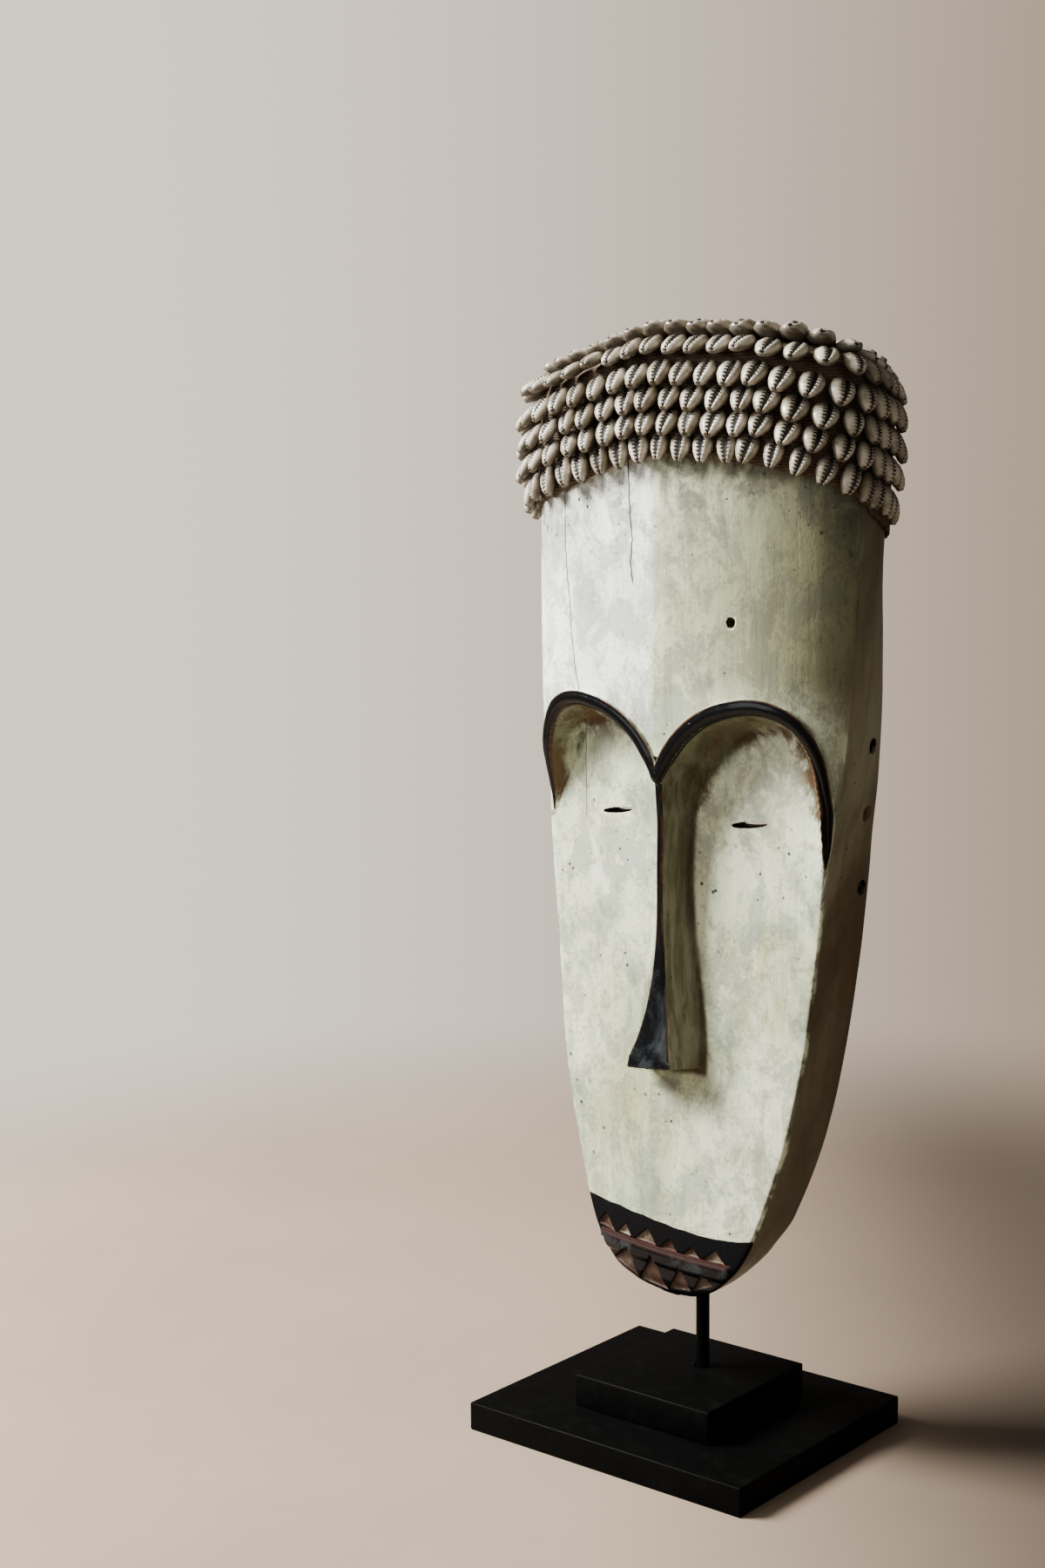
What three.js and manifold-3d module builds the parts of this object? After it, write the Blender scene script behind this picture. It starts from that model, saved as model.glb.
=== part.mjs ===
// A tall carved wooden mask with a cap of cowrie shells, held by a rod on a stepped black stand.
// Millimetres, +Z up. The mask faces -Y. The origin is the centre of the stand's underside.

import * as THREE from 'three';
import { mergeVertices, toCreasedNormals } from 'three/addons/utils/BufferGeometryUtils.js';
import Module from 'manifold-3d';

const wasm = await Module();
wasm.setup();

// Stand
const PLATE = { width: 240, depth: 208, height: 20.8 };
const BLOCK = { width: 118.6, depth: 122.5, height: 23.6, x: 3.7, y: 1.3 };
const EASED_EDGE = 1.2;
const ROD = { radius: 5, x: 8.1, y: 11.7, top: 158 };
const FIT_GAP = 0.3;
const CREASE = THREE.MathUtils.degToRad(35);

// How the mask hangs on the rod: it leans to its left about a point in the chin
const LEAN = THREE.MathUtils.degToRad(3.54);
const PIVOT = { x: 4.3, z: 150 };

// Carved body, in the mask's own frame: heights are measured as if the mask stood upright
const WOOD_TOP = 790;
const SHOULDER = 20;
const SHOULDER_ROWS = 3;
const WIDEST_Y = -25;
const RIM_Y = 22;
const BOXINESS = 3;
const WALL = 15;
const HOLLOW = {
  bottom: 172, top: 774, rounding: 24, roundingShare: 0.8, behindFace: -20, deepensFrom: 548, deepestFrom: 625,
  mouthY: 4, pastRim: 30, wallShare: 0.75, rows: 12, steps: 18,
};
const BODY_STEPS = 16;
const FRONT_STEPS = 10;
const SIDE_STEPS = 4;

// Stations up the body: [height, value]
const HALF_WIDTH = [
  [107.5, 8], [113, 26], [124, 45], [149, 66], [188, 82], [245, 98], [318, 109.5],
  [390, 116.5], [450, 120.5], [500, 127], [556, 130], [620, 131.5], [790, 131.5],
];
const TUCK_AT_RIM = [
  [107.5, 1], [124, 7], [149, 6], [175, 1], [300, -1.5], [430, 0], [493, 5], [553, 9], [600, 13], [650, 17], [790, 20],
];
const LEFT_SLIM = [[107, 0], [149, 3], [200, 5], [300, 4.5], [400, 3.5], [450, 1.5], [500, 5], [560, 4], [640, 3], [790, 3]];
const FRONT_Y = [[107, -70], [506, -70], [546, -72], [606, -74], [664, -79], [704, -81], [790, -82]];
const FACE_Y = [
  [90, -8], [107, -20], [113, -27], [124, -32], [160, -34], [275, -34], [390, -35], [451, -36], [600, -36],
];
const FACE_CROWN = [[90, 1], [124, 2], [160, 3.5], [300, 3.5], [440, 0.5], [600, 0.5]];

// Brow arches: the ridge's middle line on the right side, from its lower end over the top to the cusp
const BROW = [
  [119, 440], [121, 462], [122.5, 488], [117.5, 516], [104, 537], [83, 545.5],
  [60, 543.5], [38, 535], [20, 521], [8, 505], [0, 489],
];
const LEFT_BROW = { rise: 0.86, fall: 0.8, split: 497, spread: 0.91 };
const RIDGE = { radius: 5.4, sink: 1.6, sides: 6, steps: 14, taper: 0.22, thinnest: 0.3 };
const SOCKET = { cove: 9, coveSteps: 2, back: -33.5, depth: 90, side: 160, foot: 440, overlap: 40, steps: 14 };
const FACE_SLAB = { low: 92, high: 560, width: 330, front: -140, columns: 10, rows: 13, joinZ: 451, below: 360 };

// Nose: [height, front y, half-width in front, half-width at the face]
const NOSE = [
  [284, -62, 17.5, 28], [303, -58.5, 13.5, 27], [324, -55.5, 9.5, 24], [350, -55, 6, 19], [390, -57, 3.2, 13],
  [424, -60, 2.6, 10], [455, -62, 2.6, 10], [480, -66, 3, 12], [500, -68.5, 4, 14], [516, -66, 8, 18],
];
const NOSE_FOOT_DROP = 5;
const NOSE_EMBED = 4;
const NOSE_EDGE = 1;

// Openings cut through the wood
const EYE_SLIT = { height: 2.6, reach: 60, y: -30, tilt: THREE.MathUtils.degToRad(5) };
const EYE_SLITS = [{ x: -56.5, z: 457.7, length: 23 }, { x: 56.5, z: 462.2, length: 25 }];
const SIDE_HOLE = { radius: 5.5, reach: 60, x: 120, sides: 10, places: [[521, 3.5], [474, 8], [422, 13]] };
const FOREHEAD_HOLE = { x: 57, z: 601, radius: 3.5, depth: 12, reach: 40, sides: 10 };
const ROD_BORE = { bottom: 80, sides: 24 };

// Toothed band at the mouth
const TOOTH = { pitch: 19.8, lowerPitch: 22.3, halfWidth: 8.4, height: 12, depth: 2.4 };
const UPPER_TEETH = { first: -49, count: 6, baseZ: 146.5, arch: 3.5 };
const LOWER_TEETH = { first: -30, count: 4, baseZ: 113, arch: 16, height: 22 };
const MOUTH = { halfWidth: 58, z: 142.5, arch: 4, height: 2.6, depth: 2 };
const MOUTH_REACH = 40;
const ARCH_SPAN = 60;

// Cap and shells. Heights here run up the wood, then over its rounded top edge
const CAP = { bottom: 704, clear: 0.3, thickness: 2.6, cutBelow: 90 };
const CAP_DROP = { rims: 44, rimsAtTop: 25, left: 22, leftAtTop: 20, from: -5, to: 100, bend: 0.62, woodFrom: 560 };
const SHELL = { length: 20.5, pitch: 16.2, thickness: 7, middle: 0.4, stand: 0.5, neck: 0.3, neckLift: 0.08 };
// Outline of a shell seen from its side, as [up, out]: upper end, slit side, tip and back
const SHELL_SECTION = [[0.5, 0], [0.22, 0.5], [-0.25, 0.42], [-0.5, 0], [0.1, -0.45]];
const ROW_ENDS = { left: 0, right: 0.03, flatter: 0.4, from: 0.72 };
const CROWDING = { least: 0.74, more: 0.36, leftFrom: 0.12, leftTo: 0.42, rightFrom: 0.06, rightTo: 0.28 };
const SHELL_ROWS = [
  { tip: 706, tilt: 7 }, { tip: 722.5, tilt: 24 }, { tip: 738, tilt: 27 }, { tip: 753.5, tilt: 28 },
  { tip: 769, tilt: 28 }, { tip: 785, tilt: 28 }, { tip: 800, tilt: 32 }, { tip: 815, tilt: 34 },
];

// Finishes
const PAINTED_WOOD = new THREE.MeshStandardMaterial({ color: 0xb9bda6, roughness: 0.5, metalness: 0 });
const FIBRE = new THREE.MeshStandardMaterial({ color: 0x3d2a1c, roughness: 0.95, metalness: 0 });
const COWRIE = new THREE.MeshStandardMaterial({ color: 0xa08f7a, roughness: 0.3, metalness: 0 });
const BLACK_PAINT = new THREE.MeshStandardMaterial({ color: 0x0b0b0c, roughness: 0.45, metalness: 0 });
const BLACK_STEEL = new THREE.MeshStandardMaterial({ color: 0x0a0a0a, roughness: 0.4, metalness: 0.6 });

// Smooth value between stations, without overshoot
function along(stations, at) {
  const last = stations.length - 1;
  if (at <= stations[0][0]) return stations[0][1];
  if (at >= stations[last][0]) return stations[last][1];
  let k = 0;
  while (at > stations[k + 1][0]) k += 1;
  const slope = (i) => {
    if (i <= 0 || i >= last) return 0;
    const before = (stations[i][1] - stations[i - 1][1]) / (stations[i][0] - stations[i - 1][0]);
    const after = (stations[i + 1][1] - stations[i][1]) / (stations[i + 1][0] - stations[i][0]);
    return before * after <= 0 ? 0 : (2 * before * after) / (before + after);
  };
  const [x0, y0] = stations[k];
  const [x1, y1] = stations[k + 1];
  const span = x1 - x0;
  const s = (at - x0) / span;
  const rise = s * s * (3 - 2 * s);
  return y0 + (y1 - y0) * rise + span * s * (1 - s) * (slope(k) * (1 - s) - slope(k + 1) * s);
}

const clamp01 = (value) => Math.min(1, Math.max(0, value));

// Manifold helpers: a closed geometry becomes a solid, and a solid becomes a geometry again
function toSolid(geometry) {
  const bare = geometry.clone();
  bare.deleteAttribute('normal');
  bare.deleteAttribute('uv');
  const merged = mergeVertices(bare, 1e-4);
  return new wasm.Manifold(new wasm.Mesh({
    numProp: 3,
    vertProperties: new Float32Array(merged.attributes.position.array),
    triVerts: new Uint32Array(merged.index.array),
  }));
}

function toGeometry(solid) {
  const { vertProperties, triVerts, numProp } = solid.getMesh();
  const position = new Float32Array((vertProperties.length / numProp) * 3);
  for (let i = 0; i < position.length / 3; i += 1) {
    position.set(vertProperties.subarray(i * numProp, i * numProp + 3), i * 3);
  }
  const geometry = new THREE.BufferGeometry();
  geometry.setAttribute('position', new THREE.BufferAttribute(position, 3));
  geometry.setIndex(new THREE.BufferAttribute(new Uint32Array(triVerts), 1));
  return toCreasedNormals(geometry, CREASE);
}

// Moves every vertex of a geometry through a function of its place
function reshape(geometry, place) {
  const position = geometry.attributes.position;
  const point = new THREE.Vector3();
  for (let i = 0; i < position.count; i += 1) {
    point.fromBufferAttribute(position, i);
    place(point);
    position.setXYZ(i, point.x, point.y, point.z);
  }
  return geometry;
}

// How far the cap's rows sink below their height in front: towards both rims, and to the left
function rowDrop(x, y, height) {
  const up = clamp01((height - CAP.bottom) / (WOOD_TOP - CAP.bottom));
  const front = along(FRONT_Y, height);
  const back = clamp01((y - front) / (RIM_Y - front)) ** CAP_DROP.bend;
  const left = THREE.MathUtils.smoothstep(-x, CAP_DROP.from, CAP_DROP.to);
  const rims = THREE.MathUtils.lerp(CAP_DROP.rims, CAP_DROP.rimsAtTop, up);
  const tilt = THREE.MathUtils.lerp(CAP_DROP.left, CAP_DROP.leftAtTop, up);
  return rims * back + tilt * left;
}

// The wood below the cap eases into that drop
function woodDrop(x, y, height) {
  return rowDrop(x, y, height) * clamp01((height - CAP_DROP.woodFrom) / (CAP.bottom - CAP_DROP.woodFrom));
}

// Half of the body's width, from the middle to one side. The carver left the left side a little slimmer
function halfWidth(side, height) {
  return along(HALF_WIDTH, height) - (side < 0 ? along(LEFT_SLIM, height) : 0);
}

// A point of the body's outline at a height. t is 0 at the middle of the front, grows to 1 at the
// middle of the back on the right and falls to -1 on the left. grow moves the outline outwards
function outline(t, height, grow) {
  const side = t < 0 ? -1 : 1;
  const half = halfWidth(side, height) + grow;
  const rim = half - along(TUCK_AT_RIM, height);
  const frontReach = WIDEST_Y - along(FRONT_Y, height) + grow;
  const step = Math.abs(t) * BODY_STEPS;
  if (step <= FRONT_STEPS) {
    const turn = (step / FRONT_STEPS) * (Math.PI / 2);
    const x = half * Math.sin(turn) ** (2 / BOXINESS);
    const y = WIDEST_Y - frontReach * Math.cos(turn) ** (2 / BOXINESS);
    return [side * x, y];
  }
  if (step <= FRONT_STEPS + SIDE_STEPS) {
    const s = (step - FRONT_STEPS) / SIDE_STEPS;
    return [side * THREE.MathUtils.lerp(half, rim, s * s), THREE.MathUtils.lerp(WIDEST_Y, RIM_Y, s)];
  }
  const s = (step - FRONT_STEPS - SIDE_STEPS) / (BODY_STEPS - FRONT_STEPS - SIDE_STEPS);
  return [side * rim * (1 - s), RIM_Y];
}

// How far the rounded top edge draws the outline in at a height, for a top at topZ
function shoulderInset(height, topZ, radius) {
  const up = clamp01((height - (topZ - radius)) / radius);
  return radius * (1 - Math.sqrt(1 - up * up));
}

// Body outline lofted between two heights, grown outwards, with its cap-side rows sunk as the cap is
function bodySolid(heights, grow, topZ) {
  const steps = 2 * BODY_STEPS;
  const rows = heights.length - 1;
  const geometry = new THREE.CylinderGeometry(1, 1, rows, steps, rows);
  reshape(geometry, (p) => {
    const row = Math.round(p.y + rows / 2);
    const height = heights[row];
    const reach = Math.hypot(p.x, p.z);
    const t = reach < 1e-6 ? 0 : Math.atan2(p.x, p.z) / Math.PI;
    const inset = shoulderInset(height, topZ, SHOULDER + grow);
    let [x, y] = outline(t, Math.min(height, topZ), grow - inset);
    if (reach < 1e-6) [x, y] = [0, WIDEST_Y];
    p.set(x, y, height - woodDrop(x, y, height));
  });
  return toSolid(geometry);
}

function bodyHeights() {
  const heights = [107.5, 109.5, 113, 118, 125, 135, 150, 170];
  for (let z = 196; z < 420; z += 38) heights.push(z);
  heights.push(450, 480, 510, 560, 610, 655, 704);
  return [...heights, ...shoulderHeights(WOOD_TOP, SHOULDER)];
}

function shoulderHeights(topZ, radius) {
  const heights = [];
  for (let k = 0; k <= SHOULDER_ROWS; k += 1) {
    heights.push(topZ - radius + radius * Math.sin((k / SHOULDER_ROWS) * 0.5 * Math.PI));
  }
  return heights;
}

// The hollow behind the face and forehead, open at the back
function hollowSolid() {
  const { rows, steps } = HOLLOW;
  const geometry = new THREE.CylinderGeometry(1, 1, rows, steps, rows);
  reshape(geometry, (p) => {
    const up = (Math.round(p.y + rows / 2)) / rows;
    const height = THREE.MathUtils.lerp(HOLLOW.bottom, HOLLOW.top, up);
    const fromEnd = Math.min(height - HOLLOW.bottom, HOLLOW.top - height);
    const bend = 1 - Math.sqrt(1 - (1 - clamp01(fromEnd / HOLLOW.rounding)) ** 2);
    const round = HOLLOW.rounding * HOLLOW.roundingShare * bend;
    const side = Math.sign(p.x);
    const half = halfWidth(side, height) - WALL - round;
    const rim = half - along(TUCK_AT_RIM, height) + 1;
    const intoForehead = THREE.MathUtils.smoothstep(height, HOLLOW.deepensFrom, HOLLOW.deepestFrom);
    const deep = THREE.MathUtils.lerp(HOLLOW.behindFace, along(FRONT_Y, height) + WALL, intoForehead) + round;
    const t = Math.abs(Math.atan2(p.x, p.z)) / Math.PI;
    const z = height - woodDrop(0, WIDEST_Y, height);
    if (Math.hypot(p.x, p.z) < 1e-6) {
      p.set(0, 0, z);
    } else if (t <= HOLLOW.wallShare) {
      const turn = (t / HOLLOW.wallShare) * (Math.PI / 2);
      const x = half * Math.sin(turn) ** (2 / BOXINESS);
      const reach = (HOLLOW.mouthY - deep) * Math.cos(turn) ** (2 / BOXINESS);
      p.set(side * Math.min(x, half), HOLLOW.mouthY - reach, z);
    } else {
      p.set(side * rim * (1 - t) / (1 - HOLLOW.wallShare), RIM_Y + HOLLOW.pastRim, z);
    }
  });
  return toSolid(geometry);
}

// Place of the face's surface, which crowns forward a little in the middle
function faceY(x, z) {
  const half = Math.max(along(HALF_WIDTH, z), 30);
  return along(FACE_Y, z) + along(FACE_CROWN, z) * Math.min(1.5, (x / half) ** 2);
}

// Place of the forehead's surface
function frontY(x, z) {
  const half = halfWidth(Math.sign(x), z);
  const reach = WIDEST_Y - along(FRONT_Y, z);
  return WIDEST_Y - reach * (1 - clamp01(Math.abs(x) / half) ** BOXINESS) ** (1 / BOXINESS);
}

// The brow's middle line, for the right side (+1) or the left (-1)
function browLine(side) {
  return BROW.map(([x, z]) => {
    if (side > 0) return [x, z];
    const above = z - LEFT_BROW.split;
    return [-x * LEFT_BROW.spread, LEFT_BROW.split + above * (above > 0 || x < 60 ? LEFT_BROW.rise : LEFT_BROW.fall)];
  });
}

// What the carver took away in front of the face: below the brows, back to the face's surface
function faceCut() {
  const { low, high, width, front, columns, rows, joinZ, below } = FACE_SLAB;
  const slab = new THREE.BoxGeometry(width, 1, high - low, columns, 1, rows);
  reshape(slab, (p) => {
    const z = p.z + (high + low) / 2;
    p.set(p.x, p.y > 0 ? faceY(p.x, z) : front, z);
  });

  const outlineOf = (side) => new THREE.SplineCurve(browLine(side).map(([x, z]) => new THREE.Vector2(x, z)));
  const path = new THREE.Shape();
  path.moveTo(SOCKET.side, SOCKET.foot);
  for (const p of outlineOf(1).getPoints(SOCKET.steps)) path.lineTo(p.x, p.y);
  for (const p of outlineOf(-1).getPoints(SOCKET.steps).reverse().slice(1)) path.lineTo(p.x, p.y);
  path.lineTo(-SOCKET.side, SOCKET.foot);
  path.lineTo(-SOCKET.side, SOCKET.foot - SOCKET.overlap);
  path.lineTo(SOCKET.side, SOCKET.foot - SOCKET.overlap);
  path.closePath();
  const sockets = new THREE.ExtrudeGeometry(path, {
    depth: SOCKET.depth, bevelEnabled: true, bevelThickness: SOCKET.cove, bevelSize: SOCKET.cove,
    bevelOffset: -SOCKET.cove, bevelSegments: SOCKET.coveSteps, curveSegments: 1,
  });
  sockets.rotateX(Math.PI / 2).translate(0, SOCKET.back - SOCKET.cove, 0);

  const rest = new THREE.BoxGeometry(width, -front, below).translate(0, front / 2, joinZ - below / 2);
  return toSolid(slab).intersect(toSolid(sockets).add(toSolid(rest)));
}

// Long thin nose: it hangs from the cusp of the brows and flares to a flat-ended tip
function noseSolid() {
  const rows = NOSE.length - 1;
  const geometry = new THREE.BoxGeometry(2, 1, rows, 2, 1, rows);
  reshape(geometry, (p) => {
    const [z, front, frontHalf, baseHalf] = NOSE[Math.round(p.z + rows / 2)];
    const atFoot = Math.round(p.z + rows / 2) === 0;
    const isFront = p.y < 0;
    const height = !isFront && atFoot ? z - NOSE_FOOT_DROP : z;
    const x = p.x * (isFront ? frontHalf : baseHalf);
    const y = isFront ? front + NOSE_EDGE * Math.abs(p.x) : faceY(x, z) + NOSE_EMBED;
    p.set(x, y, height);
  });
  return toSolid(geometry);
}

// Rounded ridge that follows one brow on the forehead's surface and thins out at its lower end
function ridgeSolid(side) {
  const line = browLine(side).map(([x, z]) => {
    const y = Math.min(frontY(x, z), faceY(x, z) + 3);
    return new THREE.Vector3(x, y + RIDGE.sink, z);
  });
  const path = new THREE.CatmullRomCurve3(line, false, 'centripetal');
  const geometry = new THREE.CylinderGeometry(1, 1, RIDGE.steps, RIDGE.sides, RIDGE.steps);
  const outward = new THREE.Vector3(0, -1, 0);
  reshape(geometry, (p) => {
    const at = p.y / RIDGE.steps + 0.5;
    const tangent = path.getTangentAt(at);
    const across = new THREE.Vector3().crossVectors(tangent, outward).normalize();
    const proud = new THREE.Vector3().crossVectors(across, tangent).normalize();
    const radius = RIDGE.radius * THREE.MathUtils.lerp(RIDGE.thinnest, 1, clamp01(at / RIDGE.taper));
    const centre = path.getPointAt(at);
    p.copy(centre.addScaledVector(across, p.x * radius).addScaledVector(proud, p.z * radius));
  });
  return toSolid(geometry);
}

// Triangular hollows of the mouth band, all pointing up
function toothSolid(x, baseZ, height) {
  const shape = new THREE.Shape();
  shape.moveTo(x - TOOTH.halfWidth, baseZ);
  shape.lineTo(x + TOOTH.halfWidth, baseZ);
  shape.lineTo(x, baseZ + height);
  shape.closePath();
  const geometry = new THREE.ExtrudeGeometry(shape, { depth: MOUTH_REACH, bevelEnabled: false });
  geometry.rotateX(Math.PI / 2);
  const deep = faceY(x, baseZ + height / 2) + TOOTH.depth;
  return toSolid(geometry.translate(0, deep, 0));
}

function mouthCuts() {
  const cuts = [];
  for (let k = 0; k < UPPER_TEETH.count; k += 1) {
    const x = UPPER_TEETH.first + k * TOOTH.pitch;
    cuts.push(toothSolid(x, UPPER_TEETH.baseZ + UPPER_TEETH.arch * (x / ARCH_SPAN) ** 2, TOOTH.height));
  }
  for (let k = 0; k < LOWER_TEETH.count; k += 1) {
    const x = LOWER_TEETH.first + k * TOOTH.lowerPitch;
    cuts.push(toothSolid(x, LOWER_TEETH.baseZ + LOWER_TEETH.arch * (x / ARCH_SPAN) ** 2, LOWER_TEETH.height));
  }
  const groove = new THREE.BoxGeometry(2 * MOUTH.halfWidth, MOUTH_REACH, MOUTH.height, 6, 1, 1);
  reshape(groove, (p) => {
    const z = p.z + MOUTH.z + MOUTH.arch * (p.x / ARCH_SPAN) ** 2;
    p.set(p.x, p.y > 0 ? faceY(p.x, z) + MOUTH.depth : -MOUTH_REACH - 20, z);
  });
  cuts.push(toSolid(groove));
  return cuts;
}

// Round hole along an axis
function drill(radius, length, sides) {
  return new THREE.CylinderGeometry(radius, radius, length, sides);
}

// From the stand's frame into the mask's own frame
const maskGroup = new THREE.Group();
maskGroup.position.set(PIVOT.x, 0, PIVOT.z);
maskGroup.rotation.y = LEAN;
const maskFrame = new THREE.Group();
maskFrame.position.z = -PIVOT.z;
maskGroup.add(maskFrame);
maskGroup.updateMatrixWorld(true);

function rodBore() {
  const { bottom, sides } = ROD_BORE;
  const length = ROD.top + FIT_GAP - bottom;
  const bore = drill(ROD.radius + FIT_GAP, length, sides);
  bore.rotateX(Math.PI / 2).translate(ROD.x, ROD.y, bottom + length / 2);
  bore.applyMatrix4(maskFrame.matrixWorld.clone().invert());
  return toSolid(bore);
}

function maskSolid() {
  let wood = bodySolid(bodyHeights(), 0, WOOD_TOP).subtract(faceCut());
  wood = wood.add(noseSolid());
  for (const side of [-1, 1]) wood = wood.add(ridgeSolid(side));
  wood = wood.subtract(hollowSolid());
  for (const cut of mouthCuts()) wood = wood.subtract(cut);
  for (const { x, z, length } of EYE_SLITS) {
    const slit = new THREE.BoxGeometry(length, EYE_SLIT.reach, EYE_SLIT.height).rotateY(-EYE_SLIT.tilt);
    wood = wood.subtract(toSolid(slit.translate(x, EYE_SLIT.y, z)));
  }
  for (const side of [-1, 1]) {
    for (const [z, y] of SIDE_HOLE.places) {
      const hole = drill(SIDE_HOLE.radius, SIDE_HOLE.reach, SIDE_HOLE.sides).rotateZ(Math.PI / 2);
      hole.translate(side * SIDE_HOLE.x, y, z);
      wood = wood.subtract(toSolid(hole));
    }
  }
  const bottom = frontY(FOREHEAD_HOLE.x, FOREHEAD_HOLE.z) + FOREHEAD_HOLE.depth;
  const pit = drill(FOREHEAD_HOLE.radius, FOREHEAD_HOLE.reach, FOREHEAD_HOLE.sides);
  pit.translate(FOREHEAD_HOLE.x, bottom - FOREHEAD_HOLE.reach / 2, FOREHEAD_HOLE.z);
  wood = wood.subtract(toSolid(pit));
  return wood.subtract(rodBore());
}

// Woven cap that lies on the wood from its bottom edge to the top
function capSolid() {
  const inner = bodySolid(
    [CAP.bottom - CAP.cutBelow, CAP.bottom, ...shoulderHeights(WOOD_TOP + CAP.clear, SHOULDER + CAP.clear)],
    CAP.clear, WOOD_TOP + CAP.clear,
  );
  const grow = CAP.clear + CAP.thickness;
  const outer = bodySolid(
    [CAP.bottom, ...shoulderHeights(WOOD_TOP + grow, SHOULDER + grow)],
    grow, WOOD_TOP + grow,
  );
  return outer.subtract(inner);
}

// Place on the cap's face for a shell: u runs 0 to 1 from the left rim round the front to the right
// rim, and run is the way up the wall and over the rounded top edge. rise stands off the surface
function capPlace(u, run, rise) {
  const lastT = (FRONT_STEPS + SIDE_STEPS) / BODY_STEPS;
  const t = (2 * THREE.MathUtils.lerp(ROW_ENDS.left, 1 - ROW_ENDS.right, u) - 1) * lastT;
  const grow = CAP.clear + CAP.thickness;
  const edge = WOOD_TOP - SHOULDER;
  const radius = SHOULDER + grow;
  const quarter = radius * Math.PI / 2;
  const over = Math.max(0, run - edge);
  const turn = Math.min(over, quarter) / radius;
  const inward = Math.max(0, over - quarter);
  const wallHeight = Math.min(run, edge);
  const reach = grow - (radius * (1 - Math.cos(turn)) + inward) + rise * Math.cos(turn);
  const height = wallHeight + (radius + rise) * Math.sin(turn);
  const [x, y] = outline(t, wallHeight, reach);
  return new THREE.Vector3(x, y, height - rowDrop(x, y, Math.min(height, WOOD_TOP)));
}

// Share of the usual spacing between shells: they crowd together towards both rims
function closeness(u) {
  const left = THREE.MathUtils.smoothstep(u, CROWDING.leftFrom, CROWDING.leftTo);
  const right = THREE.MathUtils.smoothstep(1 - u, CROWDING.rightFrom, CROWDING.rightTo);
  return CROWDING.least + CROWDING.more * left * right;
}

// Stops of the shells round the row, measured along the cap. Every other row is set back by half a shell
function shellStops(run, setBack) {
  const fine = 240;
  const lengths = [0];
  let before = capPlace(0, run, 0);
  for (let k = 1; k <= fine; k += 1) {
    const here = capPlace(k / fine, run, 0);
    lengths.push(lengths[k - 1] + here.distanceTo(before) / closeness(k / fine));
    before = here;
  }
  const total = lengths[fine];
  const count = Math.round(total / SHELL.pitch);
  return Array.from({ length: setBack ? count - 1 : count }, (_, i) => {
    const want = total * (i + (setBack ? 1 : 0.5)) / count;
    let k = 1;
    while (lengths[k] < want) k += 1;
    return (k - 1 + (want - lengths[k - 1]) / (lengths[k] - lengths[k - 1])) / fine;
  });
}

// One row of shells side by side, tips down: a strip that swells at each shell, and narrows to a
// small neck where two shells touch
function rowGeometry(row, index) {
  const middle = row.tip + SHELL.length * SHELL.middle;
  const stops = shellStops(middle, index % 2 === 1);
  const half = (stops[1] - stops[0]) / 2;
  const lastHalf = (stops[stops.length - 1] - stops[stops.length - 2]) / 2;
  const columns = 2 * stops.length;
  const sides = SHELL_SECTION.length;
  const geometry = new THREE.CylinderGeometry(1, 1, columns, sides, columns);
  const places = Array.from({ length: columns + 1 }, (_, column) => {
    const k = Math.floor(column / 2);
    if (column % 2) return shellPlace(row, stops[k]);
    if (k === 0) return shellPlace(row, stops[0] - half);
    if (k === stops.length) return shellPlace(row, stops[k - 1] + lastHalf);
    return shellPlace(row, (stops[k - 1] + stops[k]) / 2);
  });
  return reshape(geometry, (p) => {
    const column = Math.round(p.y + columns / 2);
    const { axis, face, centre } = places[column];
    const onAxis = Math.hypot(p.x, p.z) < 1e-6;
    const turn = (Math.atan2(p.x, p.z) / (2 * Math.PI) + 1) * sides;
    const [up, out] = onAxis ? [0, 0] : SHELL_SECTION[Math.round(turn) % sides];
    const size = column % 2 ? 1 : SHELL.neck;
    const lift = column % 2 ? 0 : SHELL.neckLift;
    p.copy(centre).addScaledVector(axis, (up * size + lift) * SHELL.length);
    p.addScaledVector(face, out * size * SHELL.thickness);
  });
}

// Where a shell of a row lies: its long axis, the way its slit faces, and its middle
function shellPlace(row, u) {
  const middle = row.tip + SHELL.length * SHELL.middle;
  const step = 0.004;
  const flatter = 1 - ROW_ENDS.flatter * THREE.MathUtils.smoothstep(u, ROW_ENDS.from, 1);
  const tilt = THREE.MathUtils.degToRad(row.tilt * flatter);
  const side = capPlace(u + step, middle, 0).sub(capPlace(u - step, middle, 0)).normalize();
  const up = capPlace(u, middle + 2, 0).sub(capPlace(u, middle - 2, 0));
  const out = new THREE.Vector3().crossVectors(side, up).normalize();
  up.crossVectors(out, side);
  const axis = up.clone().multiplyScalar(Math.cos(tilt)).addScaledVector(out, -Math.sin(tilt));
  const face = out.clone().multiplyScalar(Math.cos(tilt)).addScaledVector(up, Math.sin(tilt));
  const stand = CAP.clear + SHELL.stand * SHELL.thickness;
  const upperEnd = capPlace(u, row.tip + SHELL.length * Math.cos(tilt), stand);
  return { axis, face, centre: upperEnd.addScaledVector(axis, -SHELL.length / 2) };
}

// Slab with eased edges, standing on its underside
function slabGeometry({ width, depth, height }) {
  const w = width / 2 - EASED_EDGE;
  const d = depth / 2 - EASED_EDGE;
  const shape = new THREE.Shape([[-w, -d], [w, -d], [w, d], [-w, d]].map(([x, y]) => new THREE.Vector2(x, y)));
  return new THREE.ExtrudeGeometry(shape, {
    depth: height - 2 * EASED_EDGE, bevelEnabled: true, bevelThickness: EASED_EDGE,
    bevelSize: EASED_EDGE, bevelSegments: 2,
  }).translate(0, 0, EASED_EDGE);
}

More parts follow.
